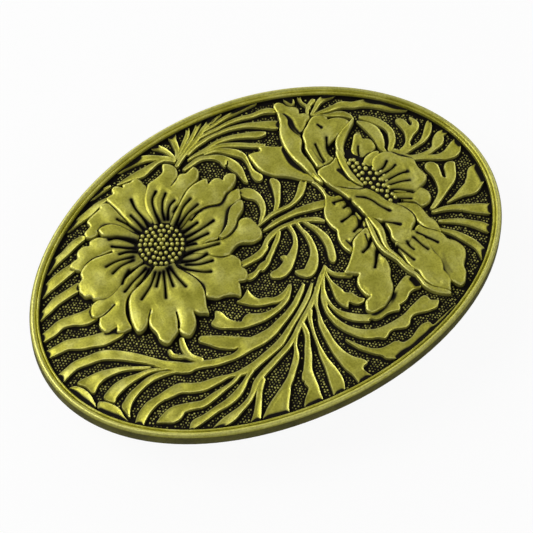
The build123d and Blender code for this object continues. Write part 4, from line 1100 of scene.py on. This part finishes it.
def noise(tree, x, y, vector, scale, detail=3.0, roughness=0.55):
    made = node(tree, "ShaderNodeTexNoise", x, y)
    made.inputs["Scale"].default_value = scale
    made.inputs["Detail"].default_value = detail
    made.inputs["Roughness"].default_value = roughness
    tree.links.new(vector, made.inputs["Vector"])
    return made


def ramp(tree, x, y, factor, stops):
    made = node(tree, "ShaderNodeValToRGB", x, y)
    tree.links.new(factor, made.inputs["Fac"])
    elements = made.color_ramp.elements
    while len(elements) > len(stops):
        elements.remove(elements[-1])
    while len(elements) < len(stops):
        elements.new(1.0)
    for element, (position, colour) in zip(elements, stops):
        element.position = position
        element.color = (*colour, 1.0) if len(colour) == 3 else colour
    return made


def maths(tree, x, y, operation, first, second=None, clamp=False):
    made = node(tree, "ShaderNodeMath", x, y, operation=operation, use_clamp=clamp)
    for socket, value in zip(made.inputs, (first, second)):
        if value is None:
            continue
        if isinstance(value, (int, float)):
            socket.default_value = value
        else:
            tree.links.new(value, socket)
    return made.outputs[0]


def mix_colour(tree, x, y, factor, first, second, blend="MIX"):
    made = node(tree, "ShaderNodeMix", x, y, data_type="RGBA", blend_type=blend)
    for socket, value in ((made.inputs[0], factor), (made.inputs[6], first), (made.inputs[7], second)):
        if isinstance(value, (int, float)):
            socket.default_value = value
        elif isinstance(value, tuple):
            socket.default_value = (*value, 1.0)
        else:
            tree.links.new(value, socket)
    return made.outputs[2]


def metal_grain_group():
    """Shared fine unevenness of cast and worked metal: a mottle, a grain and fine scratches."""
    group = bpy.data.node_groups.new("Metal grain", "ShaderNodeTree")
    for name, low, high, start in (("Scale", 0.01, 100.0, 1.0), ("Scratches", 0.0, 1.0, 0.3)):
        socket = group.interface.new_socket(name, in_out="INPUT", socket_type="NodeSocketFloat")
        socket.min_value, socket.max_value, socket.default_value = low, high, start
    for name in ("Mottle", "Grain", "Height"):
        group.interface.new_socket(name, in_out="OUTPUT", socket_type="NodeSocketFloat")
    start = node(group, "NodeGroupInput", -900, 0)
    place = node(group, "ShaderNodeTexCoord", -900, 300)
    scaled = node(group, "ShaderNodeVectorMath", -700, 200, operation="SCALE")
    group.links.new(place.outputs["Object"], scaled.inputs[0])
    group.links.new(start.outputs["Scale"], scaled.inputs["Scale"])
    mottle = noise(group, -450, 400, scaled.outputs[0], 260.0, 4.0)
    grain = noise(group, -450, 100, scaled.outputs[0], 2600.0, 2.0)
    stretch = node(group, "ShaderNodeMapping", -650, -250)
    stretch.inputs["Scale"].default_value = (1.0, 9.0, 1.0)
    stretch.inputs["Rotation"].default_value = (0.0, 0.0, 0.5)
    group.links.new(scaled.outputs[0], stretch.inputs["Vector"])
    scratch = noise(group, -450, -250, stretch.outputs[0], 700.0, 3.0)
    fine = maths(group, -150, -250, "MULTIPLY", scratch.outputs["Fac"], start.outputs["Scratches"])
    height = maths(group, 50, -100, "ADD", grain.outputs["Fac"], fine)
    end = node(group, "NodeGroupOutput", 300, 0)
    group.links.new(mottle.outputs["Fac"], end.inputs["Mottle"])
    group.links.new(grain.outputs["Fac"], end.inputs["Grain"])
    group.links.new(height, end.inputs["Height"])
    return group


def metal_base(name):
    material = bpy.data.materials.new(name)
    material.use_nodes = True
    tree = material.node_tree
    shader = tree.nodes["Principled BSDF"]
    shader.location = (500, 0)
    tree.nodes["Material Output"].location = (800, 0)
    grain = node(tree, "ShaderNodeGroup", -600, 0)
    grain.node_tree = bpy.data.node_groups.get("Metal grain") or metal_grain_group()
    return material, tree, shader, grain


def plain_metal(name, colour, dark, rough, scale=1.0):
    """Worked brass or steel: mottled colour, uneven polish and fine scratches."""
    material, tree, shader, grain = metal_base(name)
    grain.inputs["Scale"].default_value = scale
    tone = ramp(tree, -300, 200, grain.outputs["Mottle"], ((0.3, dark), (0.65, colour)))
    polish = node(tree, "ShaderNodeMapRange", -300, -100)
    polish.inputs["To Min"].default_value = rough - 0.08
    polish.inputs["To Max"].default_value = rough + 0.12
    tree.links.new(grain.outputs["Mottle"], polish.inputs["Value"])
    bump = node(tree, "ShaderNodeBump", 200, -300)
    bump.inputs["Strength"].default_value = 0.25
    bump.inputs["Distance"].default_value = 0.00004
    tree.links.new(grain.outputs["Height"], bump.inputs["Height"])
    tree.links.new(tone.outputs["Color"], shader.inputs["Base Color"])
    tree.links.new(polish.outputs["Result"], shader.inputs["Roughness"])
    tree.links.new(bump.outputs["Normal"], shader.inputs["Normal"])
    shader.inputs["Metallic"].default_value = 1.0
    return material


def antique_brass(name, look):
    """Cast brass, black in its hollows with patina and painted shade, and lighter along its edges with wear
    and painted highlight.
    """
    material, tree, shader, grain = metal_base(name)
    sunk = node(tree, "ShaderNodeAttribute", -900, 400, attribute_name="sunk")
    rubbed = node(tree, "ShaderNodeAttribute", -900, 200, attribute_name="rubbed")
    wander = maths(tree, -650, 450, "MULTIPLY_ADD", grain.outputs["Mottle"], 0.3)
    wander.node.inputs[2].default_value = -0.15
    deep = maths(tree, -450, 450, "ADD", sunk.outputs["Fac"], wander)
    black = node(tree, "ShaderNodeMapRange", -250, 450, interpolation_type="SMOOTHSTEP")
    black.inputs["From Min"].default_value = look.stain_and_shade_start
    black.inputs["From Max"].default_value = look.stain_and_shade_full
    tree.links.new(deep, black.inputs["Value"])
    toned = ramp(tree, -300, 150, grain.outputs["Mottle"],
                 ((0.3, tuple(look.shade)), (0.5, tuple(look.brass)), (0.72, tuple(look.light))))
    # Edge wear and painted highlight: lighter colour along raised edges and crests.
    edge = node(tree, "ShaderNodeMapRange", -250, -50, interpolation_type="SMOOTHSTEP")
    edge.inputs["From Min"].default_value = 0.25
    edge.inputs["From Max"].default_value = 0.9
    tree.links.new(rubbed.outputs["Fac"], edge.inputs["Value"])
    bright = mix_colour(tree, 0, 100, edge.outputs["Result"], toned.outputs["Color"], tuple(look.edge))
    speck = ramp(tree, 0, 400, grain.outputs["Grain"], ((0.36, (0.80, 0.79, 0.75)), (0.55, (1.0, 1.0, 1.0))))
    specked = mix_colour(tree, 100, 250, 1.0, bright, speck.outputs["Color"], "MULTIPLY")
    # The black mixed in here is both patina in the hollows and painted shade beside higher pieces.
    colour = mix_colour(tree, 200, 200, black.outputs["Result"], specked, tuple(look.stain_and_shade))
    metal = maths(tree, 200, 0, "SUBTRACT", 1.0, black.outputs["Result"], clamp=True)
    polish = node(tree, "ShaderNodeMapRange", 0, -250)
    polish.inputs["To Min"].default_value = look.polish
    polish.inputs["To Max"].default_value = look.polish + 0.18
    tree.links.new(grain.outputs["Mottle"], polish.inputs["Value"])
    rough = maths(tree, 200, -150, "ADD", polish.outputs["Result"],
                  maths(tree, 50, -400, "MULTIPLY", black.outputs["Result"], 0.3), clamp=True)
    bump = node(tree, "ShaderNodeBump", 250, -350)
    bump.inputs["Strength"].default_value = 0.6
    bump.inputs["Distance"].default_value = 0.00006
    tree.links.new(grain.outputs["Height"], bump.inputs["Height"])
    tree.links.new(colour, shader.inputs["Base Color"])
    tree.links.new(metal, shader.inputs["Metallic"])
    dull = maths(tree, 350, -50, "MULTIPLY_ADD", metal, 0.42)
    dull.node.inputs[2].default_value = 0.08
    tree.links.new(dull, shader.inputs["Specular IOR Level"])
    tree.links.new(rough, shader.inputs["Roughness"])
    tree.links.new(bump.outputs["Normal"], shader.inputs["Normal"])
    return material


def give(piece, material):
    if piece.data.materials:
        for k in range(len(piece.data.materials)):
            piece.data.materials[k] = material
    else:
        piece.data.materials.append(material)


# =====================================================================
# Settings and operators
# =====================================================================

class BuckleLook(bpy.types.PropertyGroup):
    """Colours and finish of the casting."""
    brass: FloatVectorProperty(name="Brass", description="Colour of the clean brass", size=3,
                               subtype="COLOR", min=0, max=1, default=(0.59, 0.565, 0.09))
    shade: FloatVectorProperty(name="Tarnish", description="Colour of the tarnished brass", size=3,
                               subtype="COLOR", min=0, max=1, default=(0.47, 0.45, 0.058))
    light: FloatVectorProperty(name="Polished brass", description="Colour of the most polished brass", size=3,
                               subtype="COLOR", min=0, max=1, default=(0.72, 0.70, 0.18))
    # Lighter colour for edge wear and for painted highlights on edges, crests and bead tops.
    edge: FloatVectorProperty(name="Rubbed edge", description="Colour of the rubbed edges", size=3,
                              subtype="COLOR", min=0, max=1, default=(0.72, 0.70, 0.20))
    # Black for the patina in the hollows and for the painted shade beside higher pieces.
    stain_and_shade: FloatVectorProperty(name="Stain", description="Colour of the black in the hollows", size=3,
                               subtype="COLOR", min=0, max=1, default=(0.008, 0.0065, 0.005))
    stain_and_shade_start: FloatProperty(name="Stain start", description="Depth value at which the black begins",
                               default=0.04, min=-1, max=1)
    stain_and_shade_full: FloatProperty(name="Stain full", description="Depth value at which the black is solid",
                              default=0.8, min=0, max=2)
    polish: FloatProperty(name="Polish", description="Roughness of the clean metal", default=0.37,
                          min=0, max=1, subtype="FACTOR")


class BuckleStipple(bpy.types.PropertyGroup):
    """The punched dots on the ground."""
    pitch: FloatProperty(name="Pitch", description="Distance between dots", default=0.6 * MM,
                         min=0.3 * MM, unit="LENGTH")
    size: FloatProperty(name="Radius", description="Radius of one dot", default=0.23 * MM,
                        min=0.05 * MM, unit="LENGTH")
    lift: FloatProperty(name="Height", description="Height of one dot", default=0.16 * MM,
                        min=0.02 * MM, unit="LENGTH")
    clear: FloatProperty(name="Clearance", description="Bare ground kept beside the carving",
                         default=0.42 * MM, min=0, unit="LENGTH")


def grow_oval(steps):
    """Extrudes the selected oval edge through rows of (inset, level), in millimetres."""
    inset, level = 0.0, steps[0][1]
    for next_inset, next_level in steps[1:]:
        bpy.ops.mesh.extrude_edges_move()
        ratio_x = (HALF_LENGTH - next_inset) / (HALF_LENGTH - inset)
        ratio_y = (HALF_WIDTH - next_inset) / (HALF_WIDTH - inset)
        bpy.ops.transform.resize(value=(ratio_x, ratio_y, 1), center_override=(0, 0, 0))
        bpy.ops.transform.translate(value=(0, 0, (next_level - level) * MM))
        inset, level = next_inset, next_level


def cut_across(piece, level=None):
    """Cuts all faces, or those at one level in millimetres, into strips that can follow the bow."""
    for strip in range(-STRIPS, STRIPS + 1):
        if level is None:
            bpy.ops.mesh.select_all(action="SELECT")
        else:
            mesh = bmesh.from_edit_mesh(piece.data)
            for vertex in mesh.verts:
                vertex.select_set(abs(vertex.co.z / MM - level) < 0.003)
            mesh.select_flush(True)
            mesh.select_flush(False)
        bpy.ops.mesh.bisect(plane_co=(STRIP * strip * MM, 0, 0), plane_no=(1, 0, 0))


class BUCKLE_OT_plate(bpy.types.Operator):
    """Builds the blank casting: its back with pads and screw holes, its edge, rim and ground"""
    bl_idname = "buckle.plate"
    bl_label = "Plate and rim"

    def execute(self, context):
        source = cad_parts["face_plate"]
        back = bpy.data.objects.new("plate_back", source.data.copy())
        context.scene.collection.objects.link(back)
        bend(back, unbowed)
        select_only(back)
        bpy.ops.object.mode_set(mode="EDIT")
        bpy.ops.mesh.select_all(action="SELECT")
        bpy.ops.mesh.remove_doubles(threshold=0.002 * MM)
        bpy.ops.mesh.bisect(plane_co=(0, 0, SLAB_SPLIT * MM), plane_no=(0, 0, 1), use_fill=True,
                            clear_outer=True)
        cut_across(back)
        bpy.ops.mesh.select_all(action="SELECT")
        bpy.ops.mesh.quads_convert_to_tris()
        bpy.ops.mesh.normals_make_consistent(inside=False)
        bpy.ops.object.mode_set(mode="OBJECT")
        bend(back, bowed)
        settle(back, 30)
        bpy.ops.object.shade_flat()
        back["raises"] = 0
        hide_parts("face_plate")

        bpy.ops.object.select_all(action="DESELECT")
        split = SLAB_SPLIT - 0.02
        bpy.ops.mesh.primitive_circle_add(vertices=384, radius=1.0, fill_type="NOTHING")
        rim = context.active_object
        rim.name = "rim_and_ground"
        rim.data.transform(Matrix.Translation((0, 0, split * MM))
                           @ Matrix.Diagonal((HALF_LENGTH * MM, HALF_WIDTH * MM, 1, 1)))
        bpy.ops.object.mode_set(mode="EDIT")
        bpy.ops.mesh.select_all(action="SELECT")
        wall = RIM_TOP - 0.8
        profile = [(0, split), (0, wall), (0.04, wall + 0.2), (0.13, wall + 0.42), (0.27, wall + 0.62),
                   (0.45, wall + 0.75), (0.63, wall + 0.8), (0.82, wall + 0.74), (1.0, wall + 0.68),
                   (1.12, wall + 0.57), (1.19, wall + 0.36), (1.27, wall + 0.3), (1.34, wall + 0.44),
                   (1.45, wall + 0.57), (1.57, wall + 0.58), (1.7, wall + 0.5), (1.8, wall + 0.3),
                   (1.88, GROUND + 0.3), (1.96, GROUND)]
        profile += [(inset, GROUND) for inset in (3, 4.5, 6.5, 9, 12, 15.5, 19.5, 24, 28.5, 32.5)]
        grow_oval(profile)
        bpy.ops.mesh.edge_face_add()
        bpy.ops.mesh.select_all(action="DESELECT")
        bpy.ops.mesh.select_non_manifold()
        bpy.ops.mesh.edge_face_add()
        cut_across(rim, split)
        cut_across(rim, GROUND)
        bpy.ops.mesh.select_all(action="SELECT")
        bpy.ops.mesh.normals_make_consistent(inside=False)
        bpy.ops.object.mode_set(mode="OBJECT")
        bend(rim, bowed)
        settle(rim, 50)
        rim["raises"] = 0
        return {"FINISHED"}


class BUCKLE_OT_leaves(bpy.types.Operator):
    """Builds the leaf sprays that fill the ground around the flowers"""
    bl_idname = "buckle.leaves"
    bl_label = "Leaf sprays"

    def execute(self, context):
        for name, spec in LEAVES.items():
            make_leaf(name, spec)
        return {"FINISHED"}


class BUCKLE_OT_daisy(bpy.types.Operator):
    """Builds the daisy: overlapping slit petals around a beaded disc"""
    bl_idname = "buckle.daisy"
    bl_label = "Daisy"

    def execute(self, context):
        base = GROUND + DAISY_RISE
        for name, order, outline in DAISY_PETALS:
            make_petal("daisy_petal_" + name, outline, base + DAISY_LAP * order,
                       DAISY_ALL_SLITS + DAISY_CUTS, (), DAISY_MIDDLE, (4.5, 11.0), 0.35)
        depth = DAISY_DISC - np.hypot(GX - DAISY_MIDDLE[0], GY - DAISY_MIDDLE[1])
        dome = GROUND + 0.9 + 0.4 * (1 - np.exp(-np.clip(depth, 0, None) / 1.2))
        carve("daisy_disc", depth, dome)
        places = []
        sizes = []
        chance = random.Random(5)
        for ring in range(5):
            many = 1 if ring == 0 else int(2 * math.pi * ring * 0.97)
            for k in range(many):
                turn = 2 * math.pi * (k + 0.5 * (ring % 2) + chance.uniform(-0.12, 0.12)) / many
                reach = ring * 1.01 + chance.uniform(-0.08, 0.08)
                x = DAISY_MIDDLE[0] + reach * math.cos(turn)
                y = DAISY_MIDDLE[1] + reach * math.sin(turn)
                places.append((x, y, GROUND + 1.1 + 0.12 * (4 - ring)))
                sizes.append(chance.uniform(0.92, 1.06))
        beads("daisy_seeds", places, 0.41, sizes, 0.5, rings=4, sides=12)
        return {"FINISHED"}


class BUCKLE_OT_poppy(bpy.types.Operator):
    """Builds the poppy: folded petals stacked around a beaded heart"""
    bl_idname = "buckle.poppy"
    bl_label = "Poppy"

    def execute(self, context):
        base = GROUND + POPPY_RISE
        for name, order, outline, hollows in POPPY_PETALS:
            make_petal("poppy_petal_" + name, outline, base + POPPY_LAP * order, POPPY_SLITS, hollows,
                       POPPY_MIDDLE, (3.0, 16.0), 0.3)
        for name, order, points in POPPY_RIBBONS:
            make_petal("poppy_" + name, points, base + 0.15 + POPPY_LAP * order, (), (), POPPY_MIDDLE,
                       (3.0, 16.0), 0.25, ribbon=True)
        heart = empty_field()
        add_outline(heart, ((23, 12), (25.5, 12.4), (27.3, 8), (28.6, 5.5), (28.9, 2.5), (28.4, -1.5),
                            (26, -2.6), (25, 0), (24, 2.6), (22.6, 5), (22.4, 9)))
        carve("poppy_heart", heart, np.full(GX.shape, base - 0.2))
        chance = random.Random(8)
        places = [(x, y, base - 0.1) for x, y in POPPY_BEADS]
        sizes = [chance.uniform(0.9, 1.08) for _ in places]
        beads("poppy_seeds", places, 0.44, sizes, 0.42, rings=4, sides=12)
        return {"FINISHED"}


class BUCKLE_OT_stipple(bpy.types.Operator):
    """Covers the bare ground between the leaves with rows of small raised dots"""
    bl_idname = "buckle.stipple"
    bl_label = "Stippled ground"

    def execute(self, context):
        look = context.scene.buckle_stipple
        pitch, size = look.pitch / MM, look.size / MM
        lift, clear = look.lift / MM, look.clear / MM
        taken = empty_field()
        for spec in LEAVES.values():
            np.maximum(taken, leaf_depth(spec), out=taken)
        flat = [outline for _, _, outline in DAISY_PETALS]
        flat += [outline for _, _, outline, _ in POPPY_PETALS]
        for outline in flat:
            add_outline(taken, outline)
        free = np.minimum(-taken, oval_depth(RIM_WIDTH + 0.05))
        chance = random.Random(3)
        places = []
        sizes = []
        rows = int(72 / (pitch * 0.87))
        for row in range(rows):
            across = -36 + row * pitch * 0.87
            for k in range(int(104 / pitch)):
                along = -52 + (k + 0.5 * (row % 2)) * pitch
                x = along * 0.94 - across * 0.34 + chance.uniform(-0.1, 0.1)
                y = along * 0.34 + across * 0.94 + chance.uniform(-0.1, 0.1)
                if abs(x) > 47 or abs(y) > 33.5:
                    continue
                if sample(free, np.array([x]), np.array([y]))[0] > clear:
                    places.append((x, y, GROUND))
                    sizes.append(chance.uniform(0.7, 1.2))
        dots = beads("ground_stipple", places, size, sizes, lift, rings=2, sides=6)
        dots["raises"] = 0
        dots["dots"] = 1
        return {"FINISHED"}


class BUCKLE_OT_finish(bpy.types.Operator):
    """Lays the black patina with painted shade, the edge wear with painted highlight, and gives every piece
    its metal
    """
    bl_idname = "buckle.finish"
    bl_label = "Patina and metals"

    def execute(self, context):
        lay_patina_and_shade()
        look = context.scene.buckle_look
        brass = antique_brass("Antique brass", look)
        for piece in carved_pieces():
            if piece.get("dots"):
                # Dot tops lighter with wear and painted highlight; their feet black with the ground's patina.
                co = coordinates(piece)
                lift = (unbowed(co[:, 0], co[:, 2]) - GROUND) / 0.14
                write_value(piece, "sunk", np.clip(0.88 - 0.5 * lift, 0.0, 1))
                write_value(piece, "rubbed", np.clip(lift * 0.75, 0, 1))
            give(piece, brass)
        metals = {
            "hinge_bracket": plain_metal("Stamped brass", (0.52, 0.44, 0.12), (0.38, 0.31, 0.08), 0.34),
            "hook_plate": plain_metal("Plate brass", (0.50, 0.42, 0.12), (0.37, 0.30, 0.08), 0.34),
            "hook_peg": plain_metal("Turned brass", (0.56, 0.47, 0.13), (0.42, 0.34, 0.09), 0.28, 1.4),
            "bail": plain_metal("Bail wire", (0.48, 0.41, 0.13), (0.34, 0.28, 0.09), 0.3, 1.2),
            "hinge_pin": plain_metal("Pin steel", (0.46, 0.46, 0.45), (0.33, 0.33, 0.33), 0.32, 1.5),
            "bracket_screws": plain_metal("Screw steel", (0.42, 0.42, 0.41), (0.3, 0.3, 0.3), 0.35, 2),
            "hook_screws": plain_metal("Small screw steel", (0.43, 0.43, 0.42), (0.31, 0.31, 0.3), 0.36, 2),
        }
        for name, material in metals.items():
            give(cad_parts[name], material)
        return {"FINISHED"}


# Name, place and size in metres, power in watts.
LIGHTS = (
    ("key", (-0.35, 0.25, 0.45), (0.35, 0.35), 1.7),
    ("back", (-0.05, 0.6, 0.3), (0.9, 0.3), 1.3),
    ("front", (0.05, -0.5, 0.4), (0.6, 0.3), 0.6),
    ("right", (0.5, 0.1, 0.35), (0.3, 0.5), 0.5),
)
CAMERA_TURN = -30.41        # degrees round the buckle, from its lower long side
CAMERA_TILT = 60.82         # degrees above the plane of the plate
CAMERA_DISTANCE = 0.5864    # metres
CAMERA_AIM = 2.6            # millimetres above the rest pad
CAMERA_LENS = 209.4
CAMERA_SHIFT = (-0.0024, -0.0233)


def soft_light(name, place, size, power):
    data = bpy.data.lights.new(name, "AREA")
    data.shape = "RECTANGLE"
    data.size, data.size_y = size
    data.energy = power
    lamp = bpy.data.objects.new(name, data)
    bpy.context.scene.collection.objects.link(lamp)
    lamp.location = place
    lamp.rotation_euler = (-Vector(place)).to_track_quat("-Z", "Y").to_euler()
    return lamp


class BUCKLE_OT_stage(bpy.types.Operator):
    """Sets the pale floor, the studio light and the camera"""
    bl_idname = "buckle.stage"
    bl_label = "Stage"

    def execute(self, context):
        bpy.ops.object.select_all(action="DESELECT")
        bpy.ops.mesh.primitive_plane_add(size=4.0, location=(0, 0, CAD_BOX[0][2]))
        floor = context.active_object
        floor.name = "studio_floor"
        material = bpy.data.materials.new("Studio floor")
        material.use_nodes = True
        shader = material.node_tree.nodes["Principled BSDF"]
        shader.inputs["Base Color"].default_value = (0.9, 0.9, 0.9, 1)
        shader.inputs["Roughness"].default_value = 0.9
        tree = material.node_tree
        glow = node(tree, "ShaderNodeEmission", 0, -300)
        glow.inputs["Strength"].default_value = 1.0
        path = node(tree, "ShaderNodeLightPath", 0, 300)
        share = maths(tree, 200, 300, "MULTIPLY", path.outputs["Is Camera Ray"], 0.93)
        both = node(tree, "ShaderNodeMixShader", 350, 0)
        tree.links.new(share, both.inputs[0])
        tree.links.new(shader.outputs[0], both.inputs[1])
        tree.links.new(glow.outputs[0], both.inputs[2])
        tree.links.new(both.outputs[0], tree.nodes["Material Output"].inputs["Surface"])
        give(floor, material)

        world = bpy.data.worlds.new("Studio")
        world.use_nodes = True
        world.node_tree.nodes["Background"].inputs["Color"].default_value = (1, 1, 1, 1)
        world.node_tree.nodes["Background"].inputs["Strength"].default_value = 0.23
        context.scene.world = world
        for name, place, size, power in LIGHTS:
            soft_light("light_" + name, place, size, power)

        turn, tilt = math.radians(CAMERA_TURN), math.radians(CAMERA_TILT)
        back = Vector((math.sin(turn) * math.cos(tilt), -math.cos(turn) * math.cos(tilt), math.sin(tilt)))
        aim = Vector((0, 0, CAMERA_AIM * MM))
        data = bpy.data.cameras.new("camera")
        data.lens = CAMERA_LENS
        data.sensor_width = 36.0
        data.shift_x, data.shift_y = CAMERA_SHIFT
        data.clip_start = 0.01
        camera = bpy.data.objects.new("camera", data)
        context.scene.collection.objects.link(camera)
        camera.location = aim + back * CAMERA_DISTANCE
        camera.rotation_euler = back.to_track_quat("Z", "Y").to_euler()
        context.scene.camera = camera
        context.scene.view_settings.view_transform = "Standard"
        return {"FINISHED"}


class BUCKLE_PT_panel(bpy.types.Panel):
    """The buckle's panel in the sidebar"""
    bl_label = "Carved Oval Buckle"
    bl_idname = "BUCKLE_PT_panel"
    bl_space_type = "VIEW_3D"
    bl_region_type = "UI"
    bl_category = "Buckle"

    def draw(self, context):
        column = self.layout.column()
        for group, names in (("buckle_look", ("brass", "shade", "light", "edge", "stain_and_shade", "stain_and_shade_start",
                                              "stain_and_shade_full", "polish")),
                             ("buckle_stipple", ("pitch", "size", "lift", "clear"))):
            for name in names:
                column.prop(getattr(context.scene, group), name)
        for operator in STEPS:
            column.operator(operator.bl_idname)


GROUPS = (("buckle_look", BuckleLook), ("buckle_stipple", BuckleStipple))
STEPS = (BUCKLE_OT_plate, BUCKLE_OT_leaves, BUCKLE_OT_daisy, BUCKLE_OT_poppy, BUCKLE_OT_stipple,
         BUCKLE_OT_finish, BUCKLE_OT_stage)


def register():
    for name, group in GROUPS:
        bpy.utils.register_class(group)
        setattr(bpy.types.Scene, name, PointerProperty(type=group))
    for step in STEPS:
        bpy.utils.register_class(step)
    bpy.utils.register_class(BUCKLE_PT_panel)


def unregister():
    bpy.utils.unregister_class(BUCKLE_PT_panel)
    for step in reversed(STEPS):
        bpy.utils.unregister_class(step)
    for name, group in GROUPS:
        delattr(bpy.types.Scene, name)
        bpy.utils.unregister_class(group)


def main():
    register()
    for step in STEPS:
        area, name = step.bl_idname.split(".")
        result = getattr(getattr(bpy.ops, area), name)()
        if "FINISHED" not in result:
            raise RuntimeError(step.bl_label + " did not finish")


if __name__ == "__main__":
    main()
